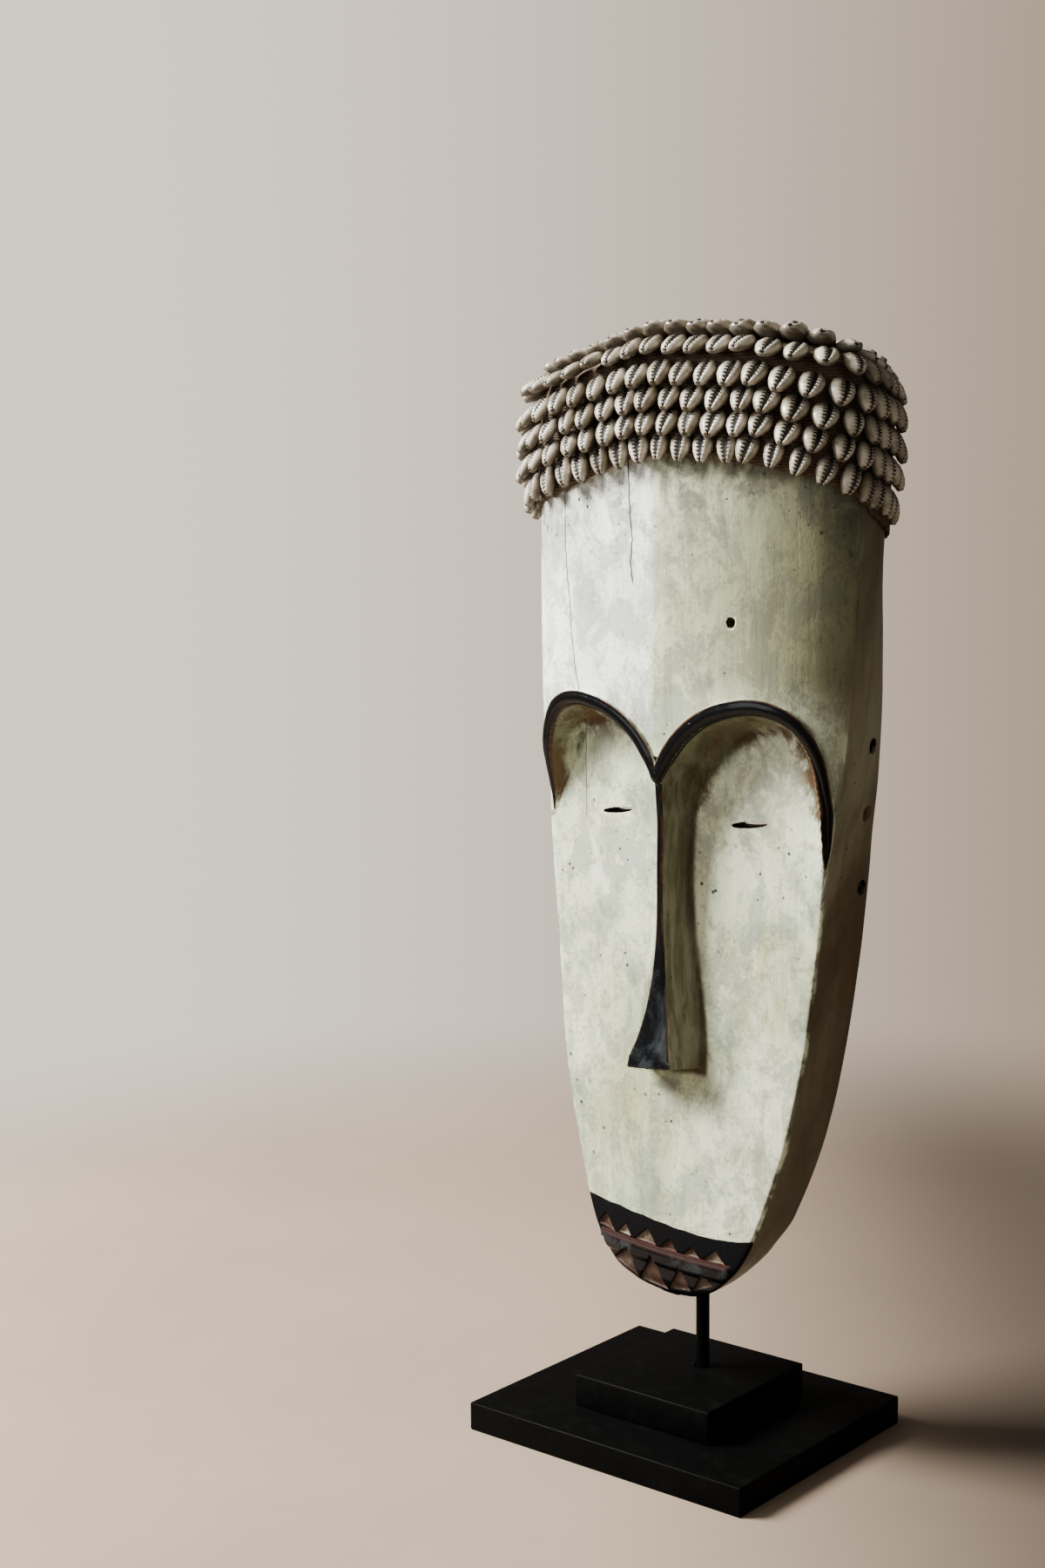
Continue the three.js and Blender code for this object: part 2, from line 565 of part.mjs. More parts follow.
function addMesh(parent, name, geometry, material) {
  const mesh = new THREE.Mesh(geometry, material);
  mesh.name = name;
  parent.add(mesh);
  return mesh;
}

const fangMask = new THREE.Group();
addMesh(fangMask, 'base_plate', slabGeometry(PLATE), BLACK_PAINT);
const block = addMesh(fangMask, 'base_block', slabGeometry(BLOCK), BLACK_PAINT);
block.position.set(BLOCK.x, BLOCK.y, PLATE.height + FIT_GAP);

const rodFoot = PLATE.height + BLOCK.height + 2 * FIT_GAP;
const rod = addMesh(fangMask, 'rod', drill(ROD.radius, ROD.top - rodFoot, ROD_BORE.sides), BLACK_STEEL);
rod.rotation.x = Math.PI / 2;
rod.position.set(ROD.x, ROD.y, (ROD.top + rodFoot) / 2);

addMesh(maskFrame, 'mask', toGeometry(maskSolid()), PAINTED_WOOD);
addMesh(maskFrame, 'cap', toGeometry(capSolid()), FIBRE);
SHELL_ROWS.forEach((row, index) => {
  addMesh(maskFrame, `cowrie_row_${index + 1}`, rowGeometry(row, index), COWRIE);
});
fangMask.add(maskGroup);

export default fangMask;
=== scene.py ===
import math
import random

import bmesh
import bpy
import numpy as np
from bpy.props import FloatProperty, FloatVectorProperty, PointerProperty
from mathutils import Matrix, Vector


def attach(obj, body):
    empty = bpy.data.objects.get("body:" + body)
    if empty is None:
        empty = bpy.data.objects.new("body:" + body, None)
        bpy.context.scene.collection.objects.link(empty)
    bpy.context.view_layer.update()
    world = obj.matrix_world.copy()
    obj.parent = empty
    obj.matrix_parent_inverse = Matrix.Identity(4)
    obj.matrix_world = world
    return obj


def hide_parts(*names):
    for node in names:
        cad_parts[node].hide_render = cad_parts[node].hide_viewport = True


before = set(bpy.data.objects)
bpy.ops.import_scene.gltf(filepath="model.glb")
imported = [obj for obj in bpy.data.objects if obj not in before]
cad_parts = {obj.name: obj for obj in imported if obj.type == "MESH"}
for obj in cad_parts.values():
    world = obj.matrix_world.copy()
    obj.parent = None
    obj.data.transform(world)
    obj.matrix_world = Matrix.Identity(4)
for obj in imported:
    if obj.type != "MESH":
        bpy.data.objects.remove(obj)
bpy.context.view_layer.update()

bl_info = {
    "name": "Shell-capped mask on a stand",
    "version": (1, 0, 0),
    "blender": (4, 5, 0),
    "location": "3D View > Sidebar > Mask",
    "description": "Carved pale mask with a cap of cowrie shells, its black stand, and a plain stage",
    "category": "Object",
}

MM = 0.001

# How the mask hangs on the rod: it leans to its left about a point in the chin
LEAN = math.radians(3.54)
PIVOT_X = 4.3
PIVOT_Z = 150.0

# Carved body, in the mask's own frame and in millimetres
WOOD_TOP = 790.0
SHOULDER = 20.0
WIDEST_Y = -25.0
RIM_Y = 22.0
BOXINESS = 3.0
WALL = 15.0
HOLLOW_BOTTOM = 172.0
HOLLOW_TOP = 774.0
HOLLOW_BEHIND_FACE = -20.0
HOLLOW_WALL_Y = 4.0
FRONT_SHARE = 10 / 16
SIDE_SHARE = 14 / 16

# Stations up the body: (height, value)
HALF_WIDTH = (
    (107.5, 8), (113, 26), (124, 45), (149, 66), (188, 82), (245, 98), (318, 109.5),
    (390, 116.5), (450, 120.5), (500, 127), (556, 130), (620, 131.5), (790, 131.5),
)
TUCK_AT_RIM = (
    (107.5, 1), (124, 7), (149, 6), (175, 1), (300, -1.5), (430, 0), (493, 5), (553, 9),
    (600, 13), (650, 17), (790, 20),
)
LEFT_SLIM = (
    (107, 0), (149, 3), (200, 5), (300, 4.5), (400, 3.5), (450, 1.5), (500, 5), (560, 4),
    (640, 3), (790, 3),
)
FRONT_Y = ((107, -70), (506, -70), (546, -72), (606, -74), (664, -79), (704, -81), (790, -82))
FACE_Y = (
    (90, -8), (107, -20), (113, -27), (124, -32), (160, -34), (275, -34), (390, -35),
    (451, -36), (600, -36),
)
FACE_CROWN = ((90, 1), (124, 2), (160, 3.5), (300, 3.5), (440, 0.5), (600, 0.5))

# Brow: the ridge's middle line on the right side, from its lower end over the top to the cusp
BROW = (
    (119, 440), (121, 462), (122.5, 488), (117.5, 516), (104, 537), (83, 545.5),
    (60, 543.5), (38, 535), (20, 521), (8, 505), (0, 489),
)
# Section of the ridge: across it towards the socket, and out of the wood
RIDGE_PROFILE = (
    (-6.0, 3.0), (-6.0, 0.6), (-5.7, -1.3), (-5.0, -1.9), (-4.2, -1.6), (-2.4, -2.3), (0.2, -2.6),
    (2.6, -2.0), (4.6, -0.2), (5.6, 2.0), (5.6, 5.0), (2, 6.0),
)
# The left brow is the same line, flatter above and below the split and drawn in a little
LEFT_BROW_SPLIT = 497.0
LEFT_BROW_RISE = 0.86
LEFT_BROW_FALL = 0.8
LEFT_BROW_SPREAD = 0.91
LEFT_BROW_HUG = 0.05

# Nose: (height, front y, half-width in front, half-width at the face)
NOSE = (
    (283, -62, 19, 28), (303, -58.5, 13.5, 27), (324, -55.5, 9.5, 24), (350, -55, 6, 19),
    (390, -57, 3.2, 13), (424, -60, 2.6, 10), (455, -62, 2.6, 10), (480, -66, 3, 12),
    (500, -68.5, 4, 14), (516, -66, 8, 18),
)
NOSE_FOOT_DROP = 5.0
NOSE_SLANT = 0.15

# Toothed band at the mouth: each tooth is an apex, a left and a right foot, and a tone from dark to pale
TEETH = (
    ((-52.7, 158.3), (-60.6, 148.3), (-43.5, 145.2), 0.35),
    ((-33.6, 154.8), (-40.5, 146.8), (-28.5, 145.8), 0.95),
    ((-13.5, 156.2), (-25.0, 145.7), (-5.0, 144.8), 0.7),
    ((6.3, 153.6), (-2.4, 144.8), (13.2, 144.6), 0.3),
    ((25.4, 152.2), (18.0, 145.2), (32.5, 144.8), 0.55),
    ((44.9, 154.6), (35.4, 145.0), (53.0, 145.6), 0.8),
    ((-54.4, 142.4), (-60.0, 134.0), (-48.0, 127.5), 0.3),
    ((-29.6, 138.4), (-45.0, 125.6), (-23.8, 116.5), 0.35),
    ((-8.0, 138.4), (-22.0, 114.8), (3.0, 112.0), 0.45),
    ((15.4, 135.4), (5.2, 114.8), (24.0, 117.5), 0.2),
    ((34.3, 134.6), (26.5, 119.5), (44.0, 127.0), 0.1),
)
BAND_TOP = (
    (-75, 169.6), (-60, 168.6), (-49.5, 167.0), (-40, 166.9), (-28.6, 165.4), (-18, 165.3), (-8.1, 164.0),
    (2, 163.9), (10.2, 162.7), (20, 163.1), (30, 162.3), (45.7, 163.1), (61, 165.1), (75, 168),
)

# Holes in the wood: slits (x, height, length), side holes (height, y) and pit (x, height, radius, depth)
EYE_SLITS = ((-56.5, 457.7, 26), (56.5, 462.2, 29))
SIDE_HOLES = ((521, 3.5), (474, 8), (422, 13))
SIDE_HOLE_RADIUS = 5.4
FOREHEAD_PIT = (57.0, 601.0, 3.4, 12)
# Cuts along each tool's walls, so that the walls of the holes take their painted shade
BAR_LOOPS = 28

# Stand, in metres: sizes and places of its parts
PLATE_HEIGHT = 0.0208
BLOCK_SIZE = (0.1186, 0.1225, 0.0236)
BLOCK_PLACE = (0.0037, 0.0013, 0.0211)
ROD_PLACE = (0.0081, 0.0117)
ROD_FOOT = 0.0451
ROD_TOP = 0.158
ROD_RADIUS = 0.005
ROD_END_GAP = 0.0003
BORE_RADIUS = 0.0053
BORE_LENGTH = 0.0783

# Stage: the camera of the photograph, and each light's place, size, share of the key's power and colour
CAMERA_PLACE = (0.90803, -1.26596, 0.64156)
CAMERA_TURNS = ((39.93, "Z"), (84.02, "X"), (-0.46, "Z"))
RIGHTWARD = (0.812, 0.583, 0)
LIT_POINT = (0.02, 0, 0.45)
LIGHTS = (
    ("key", (-1.6, -1.2, 1.9), 1.0, 1.0, (1.0, 0.985, 0.95)),
    ("window", (-0.5, -2.3, 1.2), 1.2, 0.05, (0.97, 0.985, 1.0)),
    ("fill", (1.9, -0.9, 1.3), 1.6, 0.012, (1.0, 0.94, 0.86)),
)

# Cap and shells: heights run up the wood, then over its rounded top edge
CAP_BOTTOM = 704.0
CAP_THICK = 2.9
# How far the rows drop at the rims and to the left, low down and at the top
CAP_DROP = {"rims": 44, "rims_at_top": 25, "left": 22, "left_at_top": 20,
            "from": -5, "to": 100, "bend": 0.62, "wood_from": 560}
# Rows of the cap up the wood, how far its hem rolls off the wood, and its share of the way to the rims
CAP_RUNS = (709.5, 709.0, 709.4, 710.5, 713, 718, 725, 735, 750, 765)
HEM_RISES = (-2.4, -1.2, 0.2, 0.7, 0.5)
CAP_REACH = 0.97
SHELL_LENGTH = 22.0
SHELL_PITCH = 16.2
SHELL_WIDTH = 16.6
SHELL_THICK = 7.8
SHELL_MIDDLE = 0.4
# Rows of shells from the lowest up: height of the tips, and how far the shells tilt out in degrees
SHELL_ROWS = (
    (703.5, 10), (721, 32), (737, 37), (753, 39), (769.5, 39), (784.5, 35), (790.5, 30), (802, 16),
)


# Shapes shared by the pieces

def clamp01(value):
    return np.clip(value, 0.0, 1.0)


def smooth(value, low, high):
    s = clamp01((value - low) / (high - low))
    return s * s * (3 - 2 * s)


def blend(a, b, share):
    return a + (b - a) * share


def along(stations, at):
    """Smooth value between stations, without overshoot."""
    x = np.array([s[0] for s in stations], float)
    y = np.array([s[1] for s in stations], float)
    step = np.diff(y) / np.diff(x)
    slope = np.zeros(len(x))
    before, after = step[:-1], step[1:]
    same_way = before * after > 0
    total = np.where(same_way, before + after, 1.0)
    slope[1:-1] = np.where(same_way, 2 * before * after / total, 0.0)
    k = np.clip(np.searchsorted(x, at, "right") - 1, 0, len(x) - 2)
    span = x[k + 1] - x[k]
    s = clamp01((at - x[k]) / span)
    rise = s * s * (3 - 2 * s)
    bow = span * s * (1 - s) * (slope[k] * (1 - s) - slope[k + 1] * s)
    return y[k] + (y[k + 1] - y[k]) * rise + bow


def half_width(side, height):
    return along(HALF_WIDTH, height) - np.where(side < 0, along(LEFT_SLIM, height), 0.0)


def row_drop(x, y, height):
    """How far the cap's rows sink below their height in front: towards both rims, and to the left."""
    up = clamp01((height - CAP_BOTTOM) / (WOOD_TOP - CAP_BOTTOM))
    front = along(FRONT_Y, height)
    back = clamp01((y - front) / (RIM_Y - front)) ** CAP_DROP["bend"]
    left = smooth(-x, CAP_DROP["from"], CAP_DROP["to"])
    rims = blend(CAP_DROP["rims"], CAP_DROP["rims_at_top"], up)
    tilt = blend(CAP_DROP["left"], CAP_DROP["left_at_top"], up)
    return rims * back + tilt * left


def wood_drop(x, y, height):
    """How far the wood sinks with the cap's rows: not at all on the face, and fully under the cap."""
    share = clamp01((height - CAP_DROP["wood_from"]) / (CAP_BOTTOM - CAP_DROP["wood_from"]))
    return row_drop(x, y, height) * share


def hull_x(side, height, y, inset=0.0):
    """Half-width of the body at a height and a depth y."""
    half = half_width(side, height) - inset
    reach = WIDEST_Y - along(FRONT_Y, height) - inset
    ahead = clamp01((WIDEST_Y - y) / reach)
    front = half * (1 - ahead ** BOXINESS) ** (1 / BOXINESS)
    s = clamp01((y - WIDEST_Y) / (RIM_Y - WIDEST_Y))
    behind = half - along(TUCK_AT_RIM, height) * s * s
    return np.where(y < WIDEST_Y, front, behind)


def forehead_y(x, height, inset=0.0):
    half = half_width(np.sign(x), height) - inset
    reach = WIDEST_Y - along(FRONT_Y, height) - inset
    return WIDEST_Y - reach * (1 - clamp01(np.abs(x) / half) ** BOXINESS) ** (1 / BOXINESS)


def face_y(x, height):
    half = np.maximum(along(HALF_WIDTH, height), 30)
    return along(FACE_Y, height) + along(FACE_CROWN, height) * np.minimum(1.5, (x / half) ** 2)


def run_out(x, height, front):
    """The front surface, sunk to the face where the left corner runs out under the brow."""
    share = smooth(506 - height, 0, 60) * smooth(-x, 82, 102)
    return blend(front, np.maximum(front, face_y(x, height)), share)


def brow_line(side, steps=90):
    """Smooth line of one brow ridge as an array of (x, z), from its lower end to the cusp."""
    points = []
    for x, z in BROW:
        if side > 0:
            points.append((x, z))
            continue
        above = z - LEFT_BROW_SPLIT
        share = LEFT_BROW_RISE if above > 0 or x < 60 else LEFT_BROW_FALL
        spread = LEFT_BROW_SPREAD + LEFT_BROW_HUG * max(0.0, (LEFT_BROW_SPLIT - z) / 57) * (x > 60)
        points.append((-x * spread, LEFT_BROW_SPLIT + above * share))
    points = np.array(points, float)
    ends = np.vstack([2 * points[0] - points[1], points, 2 * points[-1] - points[-2]])
    line = []
    for k in range(len(points) - 1):
        p0, p1, p2, p3 = ends[k:k + 4]
        for s in np.linspace(0, 1, steps // (len(points) - 1) + 1)[:-1]:
            line.append(0.5 * (2 * p1 + (p2 - p0) * s + (2 * p0 - 5 * p1 + 4 * p2 - p3) * s * s
                               + (3 * p1 - p0 - 3 * p2 + p3) * s ** 3))
    line.append(points[-1])
    return np.array(line)


def line_distance(x, z, line):
    """Distance to a line, positive on its left-hand side, and how far along it the nearest place lies."""
    best = np.full(x.shape, 1e9)
    sign = np.ones(x.shape)
    place = np.zeros(x.shape)
    for k, ((ax, az), (bx, bz)) in enumerate(zip(line[:-1], line[1:])):
        ux, uz = bx - ax, bz - az
        share = clamp01(((x - ax) * ux + (z - az) * uz) / (ux * ux + uz * uz))
        dx, dz = x - ax - ux * share, z - az - uz * share
        distance = np.hypot(dx, dz)
        side = np.where(ux * dz - uz * dx >= 0, 1.0, -1.0)
        nearer = distance < best - 1e-6
        best = np.where(nearer, distance, best)
        sign = np.where(nearer, side, sign)
        place = np.where(nearer, k + share, place)
    return best * sign, place / (len(line) - 1)


def ridge_size(share):
    """Size of a brow ridge along its length: thin at its lower end, a little slimmer at the cusp."""
    return (0.14 + 0.86 * smooth(share, -0.02, 0.27)) * (1 - 0.3 * smooth(share, 0.86, 1.0))


def outer_slim(share):
    """How much of the ridge's outer half is left: little where it runs down the corner of the wood."""
    return 0.3 + 0.7 * smooth(share, 0.16, 0.4)


def facets(x, height):
    """Chip-carved flats down the forehead, as a change of depth."""
    stops = np.array([-112, -86, -44, 4, 48, 84, 112], float)
    keel = np.array([0, 0, 0.4, -1.8, 0.4, 0, 0], float)
    drift = 2.5 * np.sin(height / 41.0)
    curve = forehead_y(x - drift, height)
    corners = [forehead_y(np.full(x.shape, stop), height) + rise for stop, rise in zip(stops, keel)]
    flat = np.zeros(x.shape)
    for k in range(len(stops) - 1):
        held = (x - drift >= stops[k]) & (x - drift <= stops[k + 1])
        share = (x - drift - stops[k]) / (stops[k + 1] - stops[k])
        share = share + 0.04 * np.sin(2 * math.pi * share)
        flat = np.where(held, blend(corners[k], corners[k + 1], share) - curve, flat)
    return flat * smooth(100 - np.abs(x - drift), 0, 55)


def to_stand(x, y, z):
    """From the mask's own frame in millimetres to the stand's frame in metres."""
    up = z - PIVOT_Z
    across = PIVOT_X + x * math.cos(LEAN) + up * math.sin(LEAN)
    height = PIVOT_Z - x * math.sin(LEAN) + up * math.cos(LEAN)
    return across * MM, y * MM, height * MM


def ripple(x, z, wave, seed):
    """Slow hand-carved unevenness, from -1 to 1."""
    rng = random.Random(seed)
    total = np.zeros(np.broadcast(x, z).shape)
    for _ in range(5):
        turn = rng.uniform(0, 2 * math.pi)
        length = wave * rng.uniform(0.7, 1.6)
        phase = rng.uniform(0, 2 * math.pi)
        total += np.sin((x * math.cos(turn) + z * 0.6 * math.sin(turn)) / length * 2 * math.pi + phase)
    return total / 5


# Mesh helpers

def stand_places(x, y, z):
    return np.stack(to_stand(x, y, z), axis=-1)


def grid_mesh(places, values=None):
    """Grid whose vertices take their places and values from arrays of rows and columns."""
    rows, columns = places.shape[:2]
    bm = bmesh.new()
    layers = {key: bm.verts.layers.float.new(key) for key in (values or {})}
    bmesh.ops.create_grid(bm, x_segments=columns - 1, y_segments=rows - 1, size=1.0)
    for vert in bm.verts:
        i = round((vert.co.y + 1) / 2 * (rows - 1))
        j = round((vert.co.x + 1) / 2 * (columns - 1))
        vert.co = places[i, j]
        for key, layer in layers.items():
            vert[layer] = values[key][i, j]
    bmesh.ops.remove_doubles(bm, verts=bm.verts, dist=1e-6)
    return bm


def finish_piece(bm, name, material, stands_for):
    """Turns a bmesh into a named piece that rides on the body."""
    bmesh.ops.recalc_face_normals(bm, faces=bm.faces)
    mesh = bpy.data.meshes.new(name)
    bm.to_mesh(mesh)
    bm.free()
    mesh.polygons.foreach_set("use_smooth", [True] * len(mesh.polygons))
    piece = bpy.data.objects.new(name, mesh)
    bpy.context.scene.collection.objects.link(piece)
    piece.data.materials.append(material)
    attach(piece, "root")
    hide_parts(*stands_for)
    return piece


# Carved mask

def steps(*stops):
    """Row or column places from (start, step) pairs up to the last place."""
    places = []
    for (start, step), (end, _) in zip(stops[:-1], stops[1:]):
        count = max(1, round((end - start) / step))
        places.extend(start + (end - start) * k / count for k in range(count))
    places.append(stops[-1][0])
    return np.array(places)


# What each vertex of the wood tells the paint, in millimetres, and what it says where there is no such mark
WOOD_MARKS = {"black": -20.0, "tooth": -20.0, "tone": 0.0, "lip": -20.0, "arris": -20.0, "socket": 60.0,
              "nose": -20.0, "inner": 0.0, "bore": 0.0, "across": 0.0, "up": 0.0}


def mask_rows():
    chin = steps((107.5, 0.45), (109.4, 0.8), (114, 0.95), (141, 0.55), (147, 0.9), (170, 1.4), (172, 0))
    body = steps((172, 3.2), (268, 1.6), (276, 1.0), (292, 3.0), (428, 1.1), (562, 5.0), (700, 8.0),
                 (770, 0))
    shoulder = WOOD_TOP - SHOULDER + SHOULDER * np.sin(np.linspace(0, 0.5 * math.pi, 7))
    return np.concatenate([chin[:-1], body[:-1], shoulder])


def nose_reach(height):
    front_half = along([(n[0], n[2]) for n in NOSE], height)
    base_half = along([(n[0], n[3]) for n in NOSE], height)
    return front_half, base_half


def nose_y(x, height):
    """Place of the nose's surface, or far back where there is no nose."""
    front_half, base_half = nose_reach(height)
    front = along([(n[0], n[1]) for n in NOSE], height)
    face = face_y(x, height) + 4
    share = clamp01((np.abs(x) - front_half) / (base_half - front_half))
    flank = blend(front + 1.2, face, share ** 0.92)
    top = front + 1.2 * clamp01(np.abs(x) / front_half) ** 3
    y = np.where(np.abs(x) <= front_half, top, flank)
    foot = NOSE[0][0] + NOSE_SLANT * np.clip(x, -20, 20)
    under = clamp01((foot - height) / NOSE_FOOT_DROP)
    y = blend(y, face, under ** 0.7)
    faded = smooth(height, 505, 516)
    return np.where(height < foot - NOSE_FOOT_DROP, 40.0, y + faded * 30)


def round_join(a, b, radius):
    """The nearer to the front of two surfaces, with a hollow of a radius where they meet."""
    share = clamp01(0.5 + 0.5 * (b - a) / radius)
    return b + (a - b) * share - radius * share * (1 - share)


def triangle_inside(x, z, corners):
    """How far a point lies inside a triangle, negative outside."""
    inside = np.full(x.shape, 1e9)
    for (ax, az), (bx, bz) in zip(corners, corners[1:] + corners[:1]):
        length = math.hypot(bx - ax, bz - az)
        inside = np.minimum(inside, ((bx - ax) * (z - az) - (bz - az) * (x - ax)) / length)
    return inside


def teeth(x, z):
    """How far a point lies inside the nearest tooth of the mouth band, and that tooth's tone."""
    inside = np.full(x.shape, -50.0)
    tone = np.zeros(x.shape)
    for apex, left, right, shade in TEETH:
        here = triangle_inside(x, z, (apex, left, right))
        tone = np.where(here > inside, shade, tone)
        inside = np.maximum(inside, here)
    return inside, tone


def mouth_line(x):
    return 143.9 + 1.4 * (x / 56) ** 2


# Places across the wood, as shares: over the nose's flank, from the arris back to the rim, and over the rim
NOSE_SHARES = np.array([0.06, 0.15, 0.26, 0.38, 0.5, 0.62, 0.74, 0.85, 0.94, 1.0])
DEPTH_SHARES = np.array([
    0, 0.012, 0.03, 0.06, 0.1, 0.16, 0.24, 0.32, 0.4, 0.48, 0.56, 0.64, 0.72, 0.8, 0.88, 0.95, 0.985,
])
RIM_SHARES = np.array([0.04, 0.12, 0.35, 0.65, 0.92])
RIM_ROUND = np.array([0.3, 0, 0, 0, 0.3])
CARVED_BELOW = 560


def front_columns(rows, edge_x):
    """Columns from the middle to the arris, close together over the nose and near the arris."""
    front_half, base_half = nose_reach(rows)
    front_half = np.minimum(front_half, edge_x * 0.16)
    base_half = np.minimum(base_half, edge_x * 0.4)
    near_edge = np.minimum(14.0, edge_x * 0.3)
    nose_top = front_half * np.linspace(0, 1, 6)
    nose_side = front_half + (base_half - front_half) * NOSE_SHARES
    floor = base_half + (edge_x - near_edge - base_half) * np.linspace(0, 1, 49)[1:]
    brink = edge_x - near_edge * (np.linspace(1, 0, 14)[1:] ** 1.15)
    x = np.hstack([nose_top, nose_side, floor, brink])
    return blend(edge_x * np.linspace(0, 1, x.shape[1]), x, smooth(rows, 176, 262))


def front_sheet(side, rows, inset, edge_x):
    """Front of one half of the wood, and what its vertices tell the paint."""
    x = front_columns(rows, edge_x)
    z = rows + 0 * x
    signed = x * side
    hull = run_out(signed, z, forehead_y(signed, z, inset) + facets(signed, z) * smooth(z, 500, 560))
    line = brow_line(side)
    below = np.array([[side * 160, 424], [side * 160, 40]])
    path = np.vstack([below[::-1], line]) if side > 0 else np.vstack([line[::-1], below])
    inside, _ = line_distance(signed, z, path)
    off_ridge, share = line_distance(signed, z, line)
    wall = (inside - 5.0 * ridge_size(share)) / (2.5 + 10.5 * smooth(share, 0.0, 0.3))
    carved = 1 - (1 - clamp01(wall)) ** 2.6
    carved = np.maximum(carved, smooth(452 - z, 0, 13) * smooth(x, 94, 104))
    y = blend(hull, np.maximum(hull, face_y(signed, z)), carved)
    y = round_join(y, nose_y(signed, z), 2.4)
    tooth, tone = teeth(signed, z)
    y = y + 2.2 * smooth(tooth, -0.1, 1.0)
    below_mouth = mouth_line(signed) - z
    in_band = smooth(60 - np.abs(signed), 0, 6) * smooth(z, 108, 114)
    lip_round = np.sqrt(clamp01(1 - ((below_mouth - 6.6) / 6.6) ** 2))
    y = y - 3.0 * in_band * lip_round * (1 - 0.85 * smooth(tooth, 0, 0.8))
    y = y + 0.8 * in_band * np.exp(-((below_mouth + 0.6) / 0.8) ** 2)
    y = y + 0.9 * ripple(signed, z, 84, 4) * smooth(z, 175, 220)
    outer = outer_slim(share) if side > 0 else 1.3
    black_ridge = 4.4 * ridge_size(share) * np.where(off_ridge < 0, outer, 1) - np.abs(off_ridge)
    front_half, base_half = nose_reach(z)
    foot = NOSE[0][0] + NOSE_SLANT * np.clip(signed, -20, 20)
    on_nose = np.minimum(front_half - 0.1 - x, np.minimum(505 - z, z - foot + 1.5))
    band = np.interp(signed, [b[0] for b in BAND_TOP], [b[1] for b in BAND_TOP]) - z
    to_arris = edge_x - x
    values = {
        "black": np.maximum.reduce([black_ridge, on_nose,
                                    np.minimum(band, np.minimum(to_arris + 1.5, 20))]),
        "tooth": tooth,
        "tone": tone,
        "lip": np.where(in_band > 0.5, below_mouth, -20.0),
        "arris": -to_arris,
        "socket": np.where((z > 420) & (inside > 0), 13 * np.clip(wall, 0, 5), 60.0),
        "nose": np.minimum(base_half + 1.0 - x, np.minimum(z - foot + NOSE_FOOT_DROP, 540 - z)),
        "inner": 0 * x,
        "bore": 0 * x,
        "across": signed,
        "up": z,
    }
    corner = 1.6 * np.exp(-(to_arris / 1.6))
    x = x - corner * 0.45 * (z < CARVED_BELOW)
    y = y + corner * 0.45 * (z < CARVED_BELOW)
    return np.stack([side * x, y, z], axis=-1), values


def flank_sheet(side, rows, inset, edge_y):
    """Side wall of one half of the wood, from the arris back to the rim."""
    depth = edge_y + (RIM_Y - edge_y) * DEPTH_SHARES
    z = rows + 0 * depth
    soft = 0.9 * np.exp(-((depth - edge_y) / 1.8)) * (z < CARVED_BELOW)
    wide = hull_x(side, z, depth, inset) - soft * 0.5 - 1.0 * np.exp(-((RIM_Y - depth) / 1.2))
    wide = wide + 0.5 * ripple(depth * 2, z, 60, 9)
    return np.stack([side * wide, depth, z], axis=-1)[:, 1:]


def back_sheet(side, rows, inset):
    """Rim and hollow of one half of the wood, in to the middle of the back."""
    rim_out = hull_x(side, rows, RIM_Y + 0 * rows, inset)
    from_end = np.minimum(rows - HOLLOW_BOTTOM, HOLLOW_TOP - rows)
    opened = np.sqrt(1 - (1 - clamp01(from_end / 34)) ** 2)
    half = np.maximum(half_width(side, rows) - WALL - 14 * (1 - opened), 6)
    lip_x = np.minimum(half - along(TUCK_AT_RIM, rows) + 1, rim_out - 3)
    half = blend(np.minimum(half, lip_x), half, opened)
    deep = blend(HOLLOW_BEHIND_FACE, along(FRONT_Y, rows) + WALL, smooth(rows, 548, 625))
    rim_x = rim_out + (lip_x - rim_out) * RIM_SHARES
    turn = np.linspace(0.5 * math.pi, 0, 24)
    wall_share = np.linspace(0, 1, 5)[1:-1]
    wall_x = lip_x + (half - lip_x) * wall_share
    wall_y = HOLLOW_WALL_Y + 0 * wall_x + (RIM_Y - HOLLOW_WALL_Y) * (1 - wall_share)
    floor_y = HOLLOW_WALL_Y - (HOLLOW_WALL_Y - deep) * np.cos(turn) ** (2 / BOXINESS)
    hollow_x = np.hstack([wall_x, half * np.sin(turn) ** (2 / BOXINESS)])
    hollow_y = np.hstack([wall_y, floor_y]) + 1.2 * ripple(hollow_x, rows, 45, 12) * opened
    x = np.hstack([rim_x, hollow_x])
    y = np.hstack([RIM_Y - RIM_ROUND + 0 * rim_x, blend(RIM_Y, hollow_y, opened)])
    return np.stack([side * x, y, rows + 0 * x], axis=-1)


